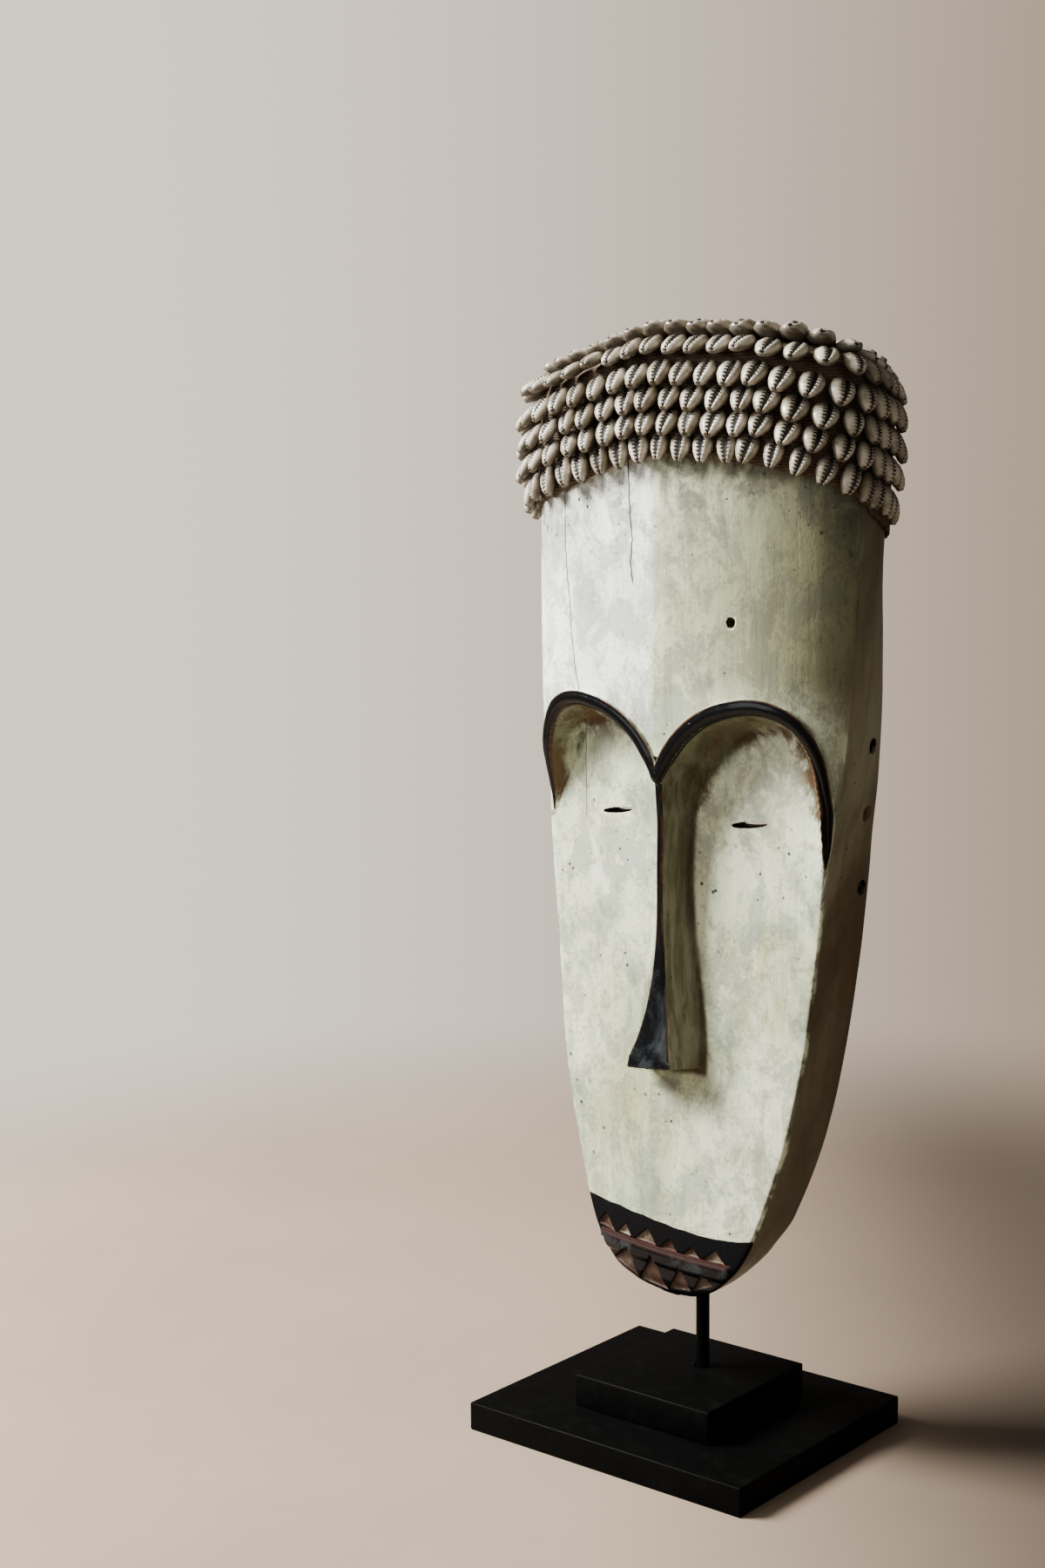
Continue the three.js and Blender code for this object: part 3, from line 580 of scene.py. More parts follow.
def mask_half(side):
    """Places of one half of the wood, from the middle of the front round to the middle of the back."""
    rows = mask_rows()[:, None]
    inset = SHOULDER * (1 - np.sqrt(1 - clamp01((rows - (WOOD_TOP - SHOULDER)) / SHOULDER) ** 2))
    edge_y = np.minimum(along(FACE_Y, rows) + 1.4 * along(FACE_CROWN, rows), -12)
    edge_x = hull_x(side, rows, edge_y, inset)
    front, values = front_sheet(side, rows, inset, edge_x)
    flank = flank_sheet(side, rows, inset, edge_y)
    back = back_sheet(side, rows, inset)
    off_edge = flank[..., 1] - edge_y
    flank_marks = {"arris": off_edge, "black": np.minimum(1.5 - off_edge, 166 - rows),
                   "across": flank[..., 0], "up": flank[..., 2]}
    back_marks = {"arris": 60.0, "inner": 1.0, "across": back[..., 0], "up": back[..., 2]}
    for key, none in WOOD_MARKS.items():
        on_flank = np.broadcast_to(flank_marks.get(key, none), flank.shape[:2])
        on_back = np.broadcast_to(back_marks.get(key, none), back.shape[:2])
        values[key] = np.hstack([values[key], on_flank, on_back])
    return np.concatenate([front, flank, back], axis=1), values


def drawn_in(row, share, middle_y):
    """Copy of a row of places, drawn in towards a middle."""
    ring = row.copy()
    ring[..., 0] = row[..., 0] * share
    ring[..., 1] = blend(middle_y, row[..., 1], share)
    return ring


def mask_bmesh():
    right, right_values = mask_half(1)
    left, left_values = mask_half(-1)
    places = np.concatenate([right, left[:, ::-1]], axis=1)
    values = {key: np.hstack([right_values[key], left_values[key][:, ::-1]]) for key in right_values}
    places[..., 2] -= wood_drop(places[..., 0], places[..., 1], places[..., 2])
    low_rows = []
    for share, drop in ((0.02, 0.4), (0.5, 0.3375), (0.82, 0.2)):
        ring = drawn_in(places[:1], share, 1.0)
        ring[..., 2] -= drop
        low_rows.append(ring)
    high_rows = []
    for share in (0.8, 0.5, 0.02):
        ring = drawn_in(places[-1:], share, 5.0)
        top = np.full(ring.shape[:2], WOOD_TOP)
        ring[..., 2] = WOOD_TOP - 0.4 - wood_drop(ring[..., 0], ring[..., 1], top)
        high_rows.append(ring)
    places = np.concatenate(low_rows + [places] + high_rows, axis=0)
    for key, row in values.items():
        values[key] = np.vstack([row[:1]] * 3 + [row] + [row[-1:]] * 3)
    return grid_mesh(stand_places(places[..., 0], places[..., 1], places[..., 2]), values)


def ridge_bmesh(bm, side):
    """Rounded black ridge along one brow, bevelled towards the socket, added to the wood's mesh."""
    line = brow_line(side, 120)
    if side < 0:
        line = line[::-1]
    count = len(line)
    share = np.linspace(0, 1, count)
    share = share if side > 0 else 1 - share
    size = ridge_size(share)
    slim = outer_slim(share) if side > 0 else 0.85 + 0 * share
    tangent = np.gradient(line, axis=0)
    tangent /= np.hypot(tangent[:, 0], tangent[:, 1])[:, None]
    inward = np.stack([-tangent[:, 1], tangent[:, 0]], axis=1)
    places = np.zeros((count, len(RIDGE_PROFILE) + 1, 3))
    values = {key: np.full(places.shape[:2], value) for key, value in WOOD_MARKS.items()}
    middle = run_out(*line.T, np.minimum(forehead_y(*line.T), face_y(*line.T) + 3))
    for j in range(len(RIDGE_PROFILE) + 1):
        corner = j % len(RIDGE_PROFILE)
        across, out = RIDGE_PROFILE[corner]
        offset = across * size * (slim if across < 0 else 1)
        x = line[:, 0] + inward[:, 0] * offset
        z = line[:, 1] + inward[:, 1] * offset
        here = run_out(x, z, np.minimum(forehead_y(x, z), face_y(x, z) + 3))
        surface = blend(middle, here, 0.75) if across < 0 else middle
        dented = out * size + 0.22 * ripple(x + z, z - x, 14, 17 + corner)
        places[:, j] = np.stack([x, surface + dented, z], axis=-1)
        values["black"][:, j] = 5.5 + across if across < 0 else 6.0
        values["across"][:, j], values["up"][:, j] = x, z
    ridge = grid_mesh(stand_places(places[..., 0], places[..., 1], places[..., 2]), values)
    bmesh.ops.holes_fill(ridge, edges=[e for e in ridge.edges if e.is_boundary])
    bmesh.ops.recalc_face_normals(ridge, faces=ridge.faces)
    held = bpy.data.meshes.new("ridge")
    ridge.to_mesh(held)
    ridge.free()
    bm.from_mesh(held)
    bpy.data.meshes.remove(held)


def cutters():
    """Tools that pierce the wood: the eye slits, the side holes, the forehead pit and the rod's bore."""
    bm = bmesh.new()

    def bar(radius, length, place, axis, flatten=1.0, turn=0.0, sides=20, rise=0.0):
        made = bmesh.ops.create_cone(bm, cap_ends=True, segments=sides, radius1=radius, radius2=radius,
                                     depth=length)
        verts = made["verts"]
        bmesh.ops.scale(bm, vec=(1, flatten, 1), verts=verts)
        walls = list({face for vert in verts for face in vert.link_faces})
        for k in range(1, BAR_LOOPS):
            geometry = list({*verts, *walls, *(edge for face in walls for edge in face.edges)})
            cut = bmesh.ops.bisect_plane(bm, geom=geometry, plane_co=(0, 0, length * (k / BAR_LOOPS - 0.5)),
                                         plane_no=(0, 0, 1))
            fresh = [part for part in cut["geom"] if isinstance(part, bmesh.types.BMVert)]
            verts = list({*verts, *fresh})
            walls = list({face for vert in verts for face in vert.link_faces})
        for degrees, about in ((90, "X" if axis == "y" else "Y"), (turn, "Y"), (rise, "X")):
            rotation = Matrix.Rotation(math.radians(degrees), 3, about)
            bmesh.ops.rotate(bm, cent=(0, 0, 0), matrix=rotation, verts=verts)
        bmesh.ops.translate(bm, vec=place, verts=verts)

    for x, z, length in EYE_SLITS:
        bar(length / 2, 60, (x, -30, z), "y", flatten=0.16, turn=-9.5, rise=4, sides=32)
    for side in (-1, 1):
        for z, y in SIDE_HOLES:
            bar(SIDE_HOLE_RADIUS, 60, (side * 120, y, z), "x")
    pit_x, pit_z, pit_radius, pit_depth = FOREHEAD_PIT
    pit_y = float(forehead_y(np.array(pit_x), np.array(pit_z)))
    bar(pit_radius, 40, (pit_x, pit_y + pit_depth - 20, pit_z), "y")
    for vert in bm.verts:
        vert.co = Vector(to_stand(*vert.co))
    made = bmesh.ops.create_cone(bm, cap_ends=True, segments=32, radius1=BORE_RADIUS, radius2=BORE_RADIUS,
                                 depth=BORE_LENGTH)
    bore_middle = ROD_TOP + ROD_END_GAP - BORE_LENGTH / 2
    bmesh.ops.translate(bm, vec=(*ROD_PLACE, bore_middle), verts=made["verts"])
    bmesh.ops.recalc_face_normals(bm, faces=bm.faces)
    mesh = bpy.data.meshes.new("cutters")
    bm.to_mesh(mesh)
    bm.free()
    for key, value in {**WOOD_MARKS, "bore": 1.0}.items():
        layer = mesh.attributes.new(key, "FLOAT", "POINT")
        layer.data.foreach_set("value", [value] * len(mesh.vertices))
    tool = bpy.data.objects.new("cutters", mesh)
    bpy.context.scene.collection.objects.link(tool)
    return tool


def pierce(piece, tool):
    cut = piece.modifiers.new("pierce", "BOOLEAN")
    cut.operation = "DIFFERENCE"
    cut.solver = "EXACT"
    cut.object = tool
    held = bpy.context.evaluated_depsgraph_get()
    mesh = bpy.data.meshes.new_from_object(piece.evaluated_get(held))
    old = piece.data
    piece.modifiers.clear()
    piece.data = mesh
    bpy.data.meshes.remove(old)
    mesh.name = piece.name
    bpy.data.objects.remove(tool)


# Cap and shells

def outline(t, height, grow):
    """Point of the body's outline. t is 0 in front, and its sign is the side."""
    side = -1 if t < 0 else 1
    half = float(half_width(side, height)) + grow
    rim = half - float(along(TUCK_AT_RIM, height))
    reach = WIDEST_Y - float(along(FRONT_Y, height)) + grow
    if abs(t) <= FRONT_SHARE:
        turn = abs(t) / FRONT_SHARE * math.pi / 2
        x = half * math.sin(turn) ** (2 / BOXINESS)
        return side * x, WIDEST_Y - reach * max(math.cos(turn), 0) ** (2 / BOXINESS)
    s = min(1, (abs(t) - FRONT_SHARE) / (SIDE_SHARE - FRONT_SHARE))
    return side * (half + (rim - half) * s * s), WIDEST_Y + (RIM_Y - WIDEST_Y) * s


def cap_place(u, run, rise=0.0):
    """Point on the cap: u runs from the left rim round the front to the right rim, run goes up and over."""
    t = (2 * (u * CAP_REACH) - 1) * SIDE_SHARE
    edge = WOOD_TOP - SHOULDER
    radius = SHOULDER + CAP_THICK
    quarter = radius * math.pi / 2
    over = max(0.0, run - edge)
    turn = min(over, quarter) / radius
    inward = max(0.0, over - quarter)
    wall = min(run, edge)
    reach = CAP_THICK - (radius * (1 - math.cos(turn)) + inward) + rise * math.cos(turn)
    height = wall + (radius + rise) * math.sin(turn)
    x, y = outline(t, wall, reach)
    return Vector((x, y, height - float(row_drop(x, y, min(height, WOOD_TOP)))))


def closeness(u):
    """Share of the usual spacing between shells: they crowd together towards both rims."""
    return 0.74 + 0.36 * float(smooth(np.array(u), 0.12, 0.42) * smooth(np.array(1 - u), 0.06, 0.28))


def cap_stops(run, set_back):
    fine = 240
    places = [cap_place(k / fine, run) for k in range(fine + 1)]
    lengths = [0.0]
    for a, b in zip(places[:-1], places[1:]):
        lengths.append(lengths[-1] + (b - a).length / closeness(len(lengths) / fine))
    count = round(lengths[-1] / SHELL_PITCH)
    number = count - 1 if set_back else count
    wanted = [lengths[-1] * (i + (1 if set_back else 0.5)) / count for i in range(number)]
    stops = list(np.interp(wanted, lengths, np.linspace(0, 1, fine + 1)))
    return stops, [closeness(u) * lengths[-1] / count for u in stops]


def shell_place(tip, tilt_degrees, u, rng):
    middle = tip + SHELL_LENGTH * SHELL_MIDDLE
    at_right = float(smooth(np.array(u), 0.72, 0.95))
    flatter = 1 - 0.5 * at_right
    tilt = math.radians(tilt_degrees * flatter + rng.uniform(-3, 3))
    side = (cap_place(u + 0.004, middle) - cap_place(u - 0.004, middle)).normalized()
    up = cap_place(u, middle + 2) - cap_place(u, middle - 2)
    out = side.cross(up).normalized()
    up = out.cross(side)
    axis = up * math.cos(tilt) - out * math.sin(tilt)
    face = out * math.cos(tilt) + up * math.sin(tilt)
    upper = cap_place(u, tip + SHELL_LENGTH * math.cos(tilt), 1.6 + 0.14 * SHELL_THICK - 3.0 * at_right)
    return side, axis, face, upper - axis * (SHELL_LENGTH / 2)


def cowrie_mesh():
    """One cowrie, tip down along -Z, its slit towards -Y, in millimetres, with its own UV map."""
    bm = bmesh.new()
    bmesh.ops.create_uvsphere(bm, u_segments=12, v_segments=7, radius=1.0)
    uv = bm.loops.layers.uv.new("shell")
    polar = {}
    for vert in bm.verts:
        x, y, z = vert.co
        around = math.atan2(x, -y)
        near_slit = np.interp(abs(around), np.radians([0, 30, 60, 90, 120, 150, 180]),
                              np.radians([0, 12, 32, 64, 100, 140, 180]))
        polar[vert] = (math.copysign(float(near_slit), around), z, abs(z) > 0.999)
    for face in bm.faces:
        turns = [polar[loop.vert][0] for loop in face.loops if not polar[loop.vert][2]]
        wraps = max(turns) - min(turns) > math.pi
        middle = sum(t + (2 * math.pi if wraps and t < 0 else 0) for t in turns) / len(turns)
        for loop in face.loops:
            around, z, pole = polar[loop.vert]
            if wraps and around < 0:
                around += 2 * math.pi
            if pole:
                around = middle
            loop[uv].uv = (0.5 + around / (2 * math.pi), 0.5 + z / 2)
    for vert in bm.verts:
        around, z, pole = polar[vert]
        ring = math.sqrt(max(0, 1 - z * z)) ** (0.8 if z > 0 else 1.0)
        egg = 0.96 + 0.24 * z - 0.12 * z * z
        front = math.cos(around)
        x = math.sin(around) * SHELL_WIDTH * 0.5 * egg * ring
        y = -front * SHELL_THICK * 0.62 * ring
        if abs(around) < 0.05 and not pole:
            y += 2.8 * ring
        elif abs(around) < 0.7:
            y -= 0.7 * ring
            x *= 1.15
        elif front < -0.3:
            y *= 0.8
        x += 1.7 * ring * max(0, front) ** 2
        if pole and z < 0:
            y -= 0.6
            z += 0.16
        vert.co = (x, y, z * SHELL_LENGTH / 2)
    mesh = bpy.data.meshes.new("cowrie")
    bm.to_mesh(mesh)
    bm.free()
    return mesh


def row_bmesh(index, one):
    tip, tilt = SHELL_ROWS[index]
    rng = random.Random(31 + index)
    middle = tip + SHELL_LENGTH * SHELL_MIDDLE
    stops, pitches = cap_stops(middle, index % 2 == 1)
    bm = bmesh.new()
    for u, pitch in zip(stops, pitches):
        side, axis, face, centre = shell_place(tip, tilt, u, rng)
        turn = Matrix((side, -face, axis)).transposed()
        roll = Matrix.Rotation(math.radians(rng.uniform(-7, 7)), 3, "Z")
        lean = Matrix.Rotation(math.radians(rng.uniform(-5, 5)), 3, "Y")
        size = rng.uniform(0.95, 1.05)
        width = pitch / SHELL_PITCH * rng.uniform(0.95, 1.05) * (1.02 if index else 0.9)
        place = (Matrix.Translation(centre) @ turn.to_4x4() @ lean.to_4x4() @ roll.to_4x4()
                 @ Matrix.Diagonal((size * width, size, size, 1)))
        before = len(bm.verts)
        bm.from_mesh(one)
        bm.verts.ensure_lookup_table()
        fresh = [bm.verts[k] for k in range(before, len(bm.verts))]
        bmesh.ops.transform(bm, matrix=place, verts=fresh)
    for vert in bm.verts:
        vert.co = Vector(to_stand(*vert.co))
    return bm


def hem_drop(u, run):
    """How far the cap's edge hangs below its shells at the two ends, where it shows."""
    ends = float(smooth(np.array(0.2 - u), 0, 0.08) + smooth(np.array(u - 0.8), 0, 0.08))
    ragged = 0.8 * math.sin(u * 170) + 0.6 * math.sin(u * 423 + 1)
    return (5.5 * ends + ragged) * float(smooth(np.array(730.0 - run), 0, 20))


def cap_bmesh():
    """Woven cap under the shells, with a thin hem at its lower edge."""
    runs = list(CAP_RUNS)
    edge = WOOD_TOP - SHOULDER
    quarter = (SHOULDER + CAP_THICK) * math.pi / 2
    runs += [edge + quarter * k / 6 for k in range(7)]
    rises = [*HEM_RISES, *[0.0] * (len(runs) - len(HEM_RISES))]
    columns = 120
    rows = []
    for run, rise in zip(runs, rises):
        stops = [(k / columns, rise) for k in range(columns + 1)]
        stops = [(0, -CAP_THICK), *stops, (1, -CAP_THICK)]
        rows.append([cap_place(u / CAP_REACH, run - hem_drop(u, run), above) for u, above in stops])
    last = rows[-1]
    for share in (0.8, 0.6, 0.4, 0.2, 0.0):
        ring = []
        for point in last:
            x, y = point.x * share, RIM_Y + (point.y - RIM_Y) * share
            at_end = point in (last[0], last[-1])
            z = WOOD_TOP + CAP_THICK * (not at_end) - float(row_drop(x, y, WOOD_TOP))
            ring.append(Vector((x, y, z)))
        rows.append(ring)
    places = np.array([[to_stand(*point) for point in row] for row in rows])
    return grid_mesh(places)


# Stand

def slab_bmesh(size, place):
    """Slab with softened edges, by its size and the middle of its underside."""
    bm = bmesh.new()
    made = bmesh.ops.create_cube(bm, size=1.0)
    bmesh.ops.scale(bm, vec=size, verts=made["verts"])
    bmesh.ops.translate(bm, vec=(place[0], place[1], place[2] + size[2] / 2), verts=made["verts"])
    bmesh.ops.bevel(bm, geom=bm.edges[:], offset=0.0012, offset_type="OFFSET", segments=3, profile=0.5,
                    affect="EDGES", clamp_overlap=True, material=-1)
    return bm


def rod_bmesh():
    """Round rod with its small weld bead at the foot."""
    bm = bmesh.new()
    x, y = ROD_PLACE
    rod = bmesh.ops.create_cone(bm, cap_ends=True, segments=40, radius1=ROD_RADIUS, radius2=ROD_RADIUS,
                                depth=ROD_TOP - ROD_FOOT)
    bmesh.ops.translate(bm, vec=(x, y, (ROD_TOP + ROD_FOOT) / 2), verts=rod["verts"])
    bead = bmesh.ops.create_uvsphere(bm, u_segments=16, v_segments=8, radius=0.0017)
    bmesh.ops.scale(bm, vec=(1.0, 1.5, 0.8), verts=bead["verts"])
    bmesh.ops.translate(bm, vec=(x - 0.0052, y - 0.0022, ROD_FOOT + 0.0012), verts=bead["verts"])
    return bm


# Finishes

class Field:
    """A value or colour that changes over a surface. Its sums and products are made as shader nodes."""

    def __init__(self, made, output=0):
        self.socket = made.outputs[output]
        self.tree = made.id_data

    def __add__(self, other):
        return calculate("ADD", self, other)

    def __radd__(self, other):
        return calculate("ADD", other, self)

    def __sub__(self, number):
        return self + -number

    def __mul__(self, other):
        return calculate("MULTIPLY", self, other)

    def __abs__(self):
        return calculate("ABSOLUTE", self)


def fill(made, inputs):
    """Gives a node its inputs: a field is linked, and a plain value is set on the socket."""
    for key, value in inputs.items():
        if isinstance(value, Field):
            made.id_data.links.new(value.socket, made.inputs[key])
        else:
            made.inputs[key].default_value = value


def node(tree, kind, inputs=None, **settings):
    made = tree.nodes.new(kind)
    for key, value in settings.items():
        setattr(made, key, value)
    fill(made, inputs or {})
    return made


def calculate(operation, a, b=0.0):
    tree = (a if isinstance(a, Field) else b).tree
    return Field(node(tree, "ShaderNodeMath", {0: a, 1: b}, operation=operation))


def larger(a, b):
    return calculate("MAXIMUM", a, b)


def vector_node(operation, vector, inputs=None):
    made = node(vector.tree, "ShaderNodeVectorMath", {0: vector, **(inputs or {})}, operation=operation)
    return Field(made, "Vector" if operation == "SCALE" else "Value")


def attribute(tree, name):
    return Field(node(tree, "ShaderNodeAttribute", attribute_name=name), "Fac")


def object_place(tree):
    return Field(node(tree, "ShaderNodeTexCoord"), "Object")


def ranged(value, low, high, to_low=0.0, to_high=1.0, soft=True):
    """The value's range from low to high, drawn to another range and held at its ends."""
    limits = {"Value": value, "From Min": low, "From Max": high, "To Min": to_low, "To Max": to_high}
    kind = "SMOOTHSTEP" if soft else "LINEAR"
    return Field(node(value.tree, "ShaderNodeMapRange", limits, interpolation_type=kind), "Result")


def mixed(share, a, b):
    return Field(node(share.tree, "ShaderNodeMix", {0: share, 6: a, 7: b}, data_type="RGBA"), 2)


def mixed_value(share, a, b):
    return Field(node(share.tree, "ShaderNodeMix", {0: share, 2: a, 3: b}, data_type="FLOAT"))


def noise(vector, scale, detail=4.0, rough=0.55, twist=0.0):
    settings = {"Vector": vector, "Scale": scale, "Detail": detail, "Roughness": rough, "Distortion": twist}
    return Field(node(vector.tree, "ShaderNodeTexNoise", settings), "Fac")


def stretched(vector, scale, offset=(0, 0, 0)):
    inputs = {"Vector": vector, "Scale": scale, "Location": offset}
    return Field(node(vector.tree, "ShaderNodeMapping", inputs), "Vector")


def bumped(height, strength, distance):
    inputs = {"Strength": strength, "Distance": distance, "Height": height}
    return Field(node(height.tree, "ShaderNodeBump", inputs), "Normal")


def streak_group():
    """Vertical brushed streaks and small specks, for worn wood and paint."""
    if "streaks" in bpy.data.node_groups:
        return bpy.data.node_groups["streaks"]
    group = bpy.data.node_groups.new("streaks", "ShaderNodeTree")
    group.interface.new_socket("Vector", in_out="INPUT", socket_type="NodeSocketVector")
    scale = group.interface.new_socket("Scale", in_out="INPUT", socket_type="NodeSocketFloat")
    scale.default_value = 1.0
    for name in ("Streaks", "Specks"):
        group.interface.new_socket(name, in_out="OUTPUT", socket_type="NodeSocketFloat")
    given = group.nodes.new("NodeGroupInput")
    sized = vector_node("SCALE", Field(given, "Vector"), {"Scale": Field(given, "Scale")})
    streaks = ranged(noise(stretched(sized, (150, 150, 14)), 1.0, 5.0, 0.6), 0.42, 0.72)
    cells = Field(node(group, "ShaderNodeTexVoronoi", {"Vector": sized, "Scale": 120.0}, feature="F1"),
                  "Distance")
    size = ranged(noise(sized, 60.0, 3.0), 0.35, 0.65, 0.02, 0.2, False)
    patches = ranged(noise(sized, 14.0, 3.0), 0.46, 0.62)
    specks = ranged(size + cells * -1.0, 0.0, 0.05) * patches
    fill(group.nodes.new("NodeGroupOutput"), {"Streaks": streaks, "Specks": specks})
    return group


def shader(material):
    return material.node_tree.nodes["Principled BSDF"]


def new_material(name):
    material = bpy.data.materials.new(name)
    material.use_nodes = True
    return material


def spot(across, up, x, z, wide, tall):
    """Soft patch about a place on the face: 1 in its middle, 0 at its edge."""
    offset = {"X": (across - x) * (1 / wide), "Y": (up - z) * (1 / tall)}
    away = vector_node("LENGTH", Field(node(across.tree, "ShaderNodeCombineXYZ", offset)))
    return ranged(away, 1.0, 0.2)


def crack_line(across, up, wobble, places, width):
    """Thin line that runs down the wood through the given places."""
    offset = across - places[0][0]
    for (x, z), (next_x, next_z) in zip(places[:-1], places[1:]):
        offset = offset + ranged(up, z, next_z, 0.0, x - next_x, False)
    line = ranged(abs(offset + wobble), width, width * 0.35)
    top, foot = places[0][1], places[-1][1]
    return line * ranged(up, top + 1, top - 1) * ranged(up, foot - 1, foot + 4)


# Colours that a user has no need to change
SPECK = (0.03, 0.027, 0.018, 1)
SIDE_SPECK = (0.03, 0.022, 0.014, 1)
CRACK = (0.02, 0.017, 0.012, 1)
# Painted highlight on the forehead
PAINTED_HIGHLIGHT_WHITE = (0.97, 1.0, 0.94, 1)
RAW_WOOD = (0.17, 0.11, 0.065, 1)
RAW_WOOD_LIGHT = (0.3, 0.21, 0.13, 1)
RAW_WOOD_STAIN = (0.1, 0.065, 0.038, 1)
# Painted shade on the walls of the holes
HOLE_WALL_SHADE = (0.016, 0.011, 0.007, 1)
SOOT = (0.008, 0.0078, 0.008, 1)
MOUTH_GROOVE = (0.035, 0.01, 0.006, 1)
# Painted shade in the cowries' slits
SLIT_SHADE = (0.01, 0.007, 0.004, 1)

# Cracks down the wood: the places on the line, and its width
CRACKS = (
    (((-27, 720), (-24.5, 672), (-22.6, 655), (-24.5, 640), (-22, 622)), 0.75),
    (((-86, 720), (-84, 660), (-82.5, 640), (-80, 612), (-79, 590), (-75, 560), (-68, 536)), 0.6),
    (((-88, 520), (-87, 490), (-85.5, 468), (-84, 448)), 0.4),
)

# Dirt on the face, and painted shade under and right of the nose's foot: place, half-width, half-height and
# strength
DIRT_AND_NOSE_SHADE = (
    (-3, 266, 22, 9, 0.85), (30, 290, 11, 20, 0.8), (36, 268, 10, 10, 0.5), (-72, 256, 4, 9, 0.8),
    (-67, 262, 3, 8, 0.6), (0, 690, 40, 12, 0.9), (60, 672, 46, 9, 0.7), (-70, 700, 24, 10, 0.4),
    (28, 655, 20, 9, 0.45), (-14, 668, 8, 12, 0.5), (78, 615, 26, 34, 0.35), (104, 560, 12, 34, 0.55),
    (40, 560, 26, 12, 0.3), (118, 326, 6, 9, 0.9), (92, 200, 9, 16, 0.9), (108, 262, 5, 20, 0.6),
    (64, 186, 18, 9, 0.35), (-50, 196, 26, 7, 0.25), (72, 232, 24, 10, 0.3), (-96, 380, 9, 40, 0.3),
    (56, 450, 12, 9, 0.4), (-10, 330, 30, 30, 0.15),
)


def painted_wood(look):
    """Pale worn paint with black lines, brown carved teeth, taupe sides and raw wood behind, with painted
    shade and painted highlights.
    """
    material = new_material("painted_wood")
    tree = material.node_tree
    place = object_place(tree)
    grouped = node(tree, "ShaderNodeGroup", node_tree=streak_group())
    fill(grouped, {"Vector": place, "Scale": 1.0})
    streak, speck = Field(grouped, "Streaks"), Field(grouped, "Specks")
    marks = [attribute(tree, key) for key in WOOD_MARKS]
    black, tooth, tone, lip, arris, socket, nose, inner, bore, across, up = marks

    # Pale paint in patches, with a painted highlight down the forehead left of its middle
    broad = noise(stretched(place, (1, 1, 0.55)), 9.0, 5.0, 0.6, 0.4)
    cloudy = noise(stretched(place, (1, 1, 0.6), (3, 1, 7)), 24.0, 7.0, 0.68, 0.3)
    patchy = noise(stretched(place, (1, 1, 0.7), (9, 5, 1)), 34.0, 8.0, 0.72, 0.5)
    warm = noise(stretched(place, (1, 1, 0.5), (7, 3, 2)), 13.0, 5.0, 0.65, 0.2)
    fine = noise(place, 320.0, 4.0, 0.65)
    pale = mixed(ranged(broad, 0.36, 0.64), look.paint_dark, look.paint_light)
    pale = mixed(ranged(patchy, 0.52, 0.66) * 0.6, pale, look.paint_white)
    pale = mixed(ranged(cloudy, 0.5, 0.68) * 0.62, pale, look.paint_grey)
    pale = mixed(ranged(warm, 0.54, 0.72) * 0.5, pale, look.paint_ochre)
    pale = mixed(streak * 0.3, pale, look.paint_white)
    # Painted highlight: a near-white strip down the forehead, left of its middle
    sheen = ranged(across, 0, -7) * ranged(up, 500, 560) * ranged(cloudy, 0.35, 0.65, 1.0, 0.65)
    pale = mixed(sheen, pale, PAINTED_HIGHLIGHT_WHITE)
    olive = ranged(across, -9, 0) * ranged(up, 520, 575)
    pale = mixed(olive * 0.4, pale, look.paint_olive)
    mottle = noise(stretched(place, (1, 1, 0.8), (2, 8, 4)), 90.0, 6.0, 0.75)
    pale = mixed(ranged(mottle, 0.52, 0.7) * 0.45, pale, look.paint_grey)

    # Painted shade with some olive stain at the right of the forehead, smudges with painted shade under the
    # nose, and specks
    # Painted shade: the forehead darker towards its right, with some olive stain
    painted_shade_right = ranged(across, -30, 100) * ranged(up, 520, 575) * ranged(broad, 0.25, 0.6, 0.7, 1.0)
    pale = mixed(painted_shade_right * 0.85, pale, look.patina_and_shade)
    worn = ranged(patchy + fine * 0.35, 0.6, 0.76)
    dirt_and_shade = ranged(up, 645, 700) * ranged(across, -60, 20, 0.5, 0.95)
    # Dirt in spots; the spots under and right of the nose's foot are painted shade
    for x, z, wide, tall, strength in DIRT_AND_NOSE_SHADE:
        dirt_and_shade = larger(dirt_and_shade, spot(across, up, x, z, wide, tall) * strength)
    dirt_and_shade = dirt_and_shade * ranged(patchy, 0.36, 0.56)
    pale = mixed(dirt_and_shade * 0.8, pale, look.dirt_and_shade)
    pale = mixed(worn * 0.45, pale, look.dirt_and_shade)
    pale = mixed(speck * 0.9, pale, SPECK)
    flecks = noise(stretched(place, (1, 1, 1), (4, 4, 1)), 230.0, 6.0, 0.75)
    near_hair = ranged(up, 600, 690, 0.0, 0.11)
    flecks = ranged(flecks + near_hair + patchy * 0.3, 0.82, 0.93)
    pale = mixed(flecks * 0.8, pale, SPECK)

    # Grime and painted shade in the scooped sockets, and scratches
    near_nose = ranged(across, 88, 40) * ranged(across, -8, 4)
    cove_shade_edge = 13.0 + (near_nose * 12.0 + ranged(patchy, 0.3, 0.7, -5.0, 5.0, False))
    depth = cove_shade_edge + socket * -1.0
    # Grime and painted shade on the walls of the coves
    wall = ranged(depth, 0.0, 10.0) * ranged(cloudy, 0.25, 0.6, 0.7, 1.0)
    pale = mixed(wall * (0.72 + near_nose * 0.2), pale, look.grime_and_shade)
    # Grime and painted shade along the foot of the coves
    border = ranged(abs(socket - 13.0), 6.0, 0.5) * ranged(patchy, 0.36, 0.54)
    pale = mixed(border * 0.85, pale, look.crease_shade_and_wear)
    at_right = ranged(across, 60, 100)
    rust = ranged(socket, 30.0, 14.0) * ranged(patchy + at_right * 0.05, 0.5, 0.6)
    pale = mixed(rust * 0.8, pale, look.rust)

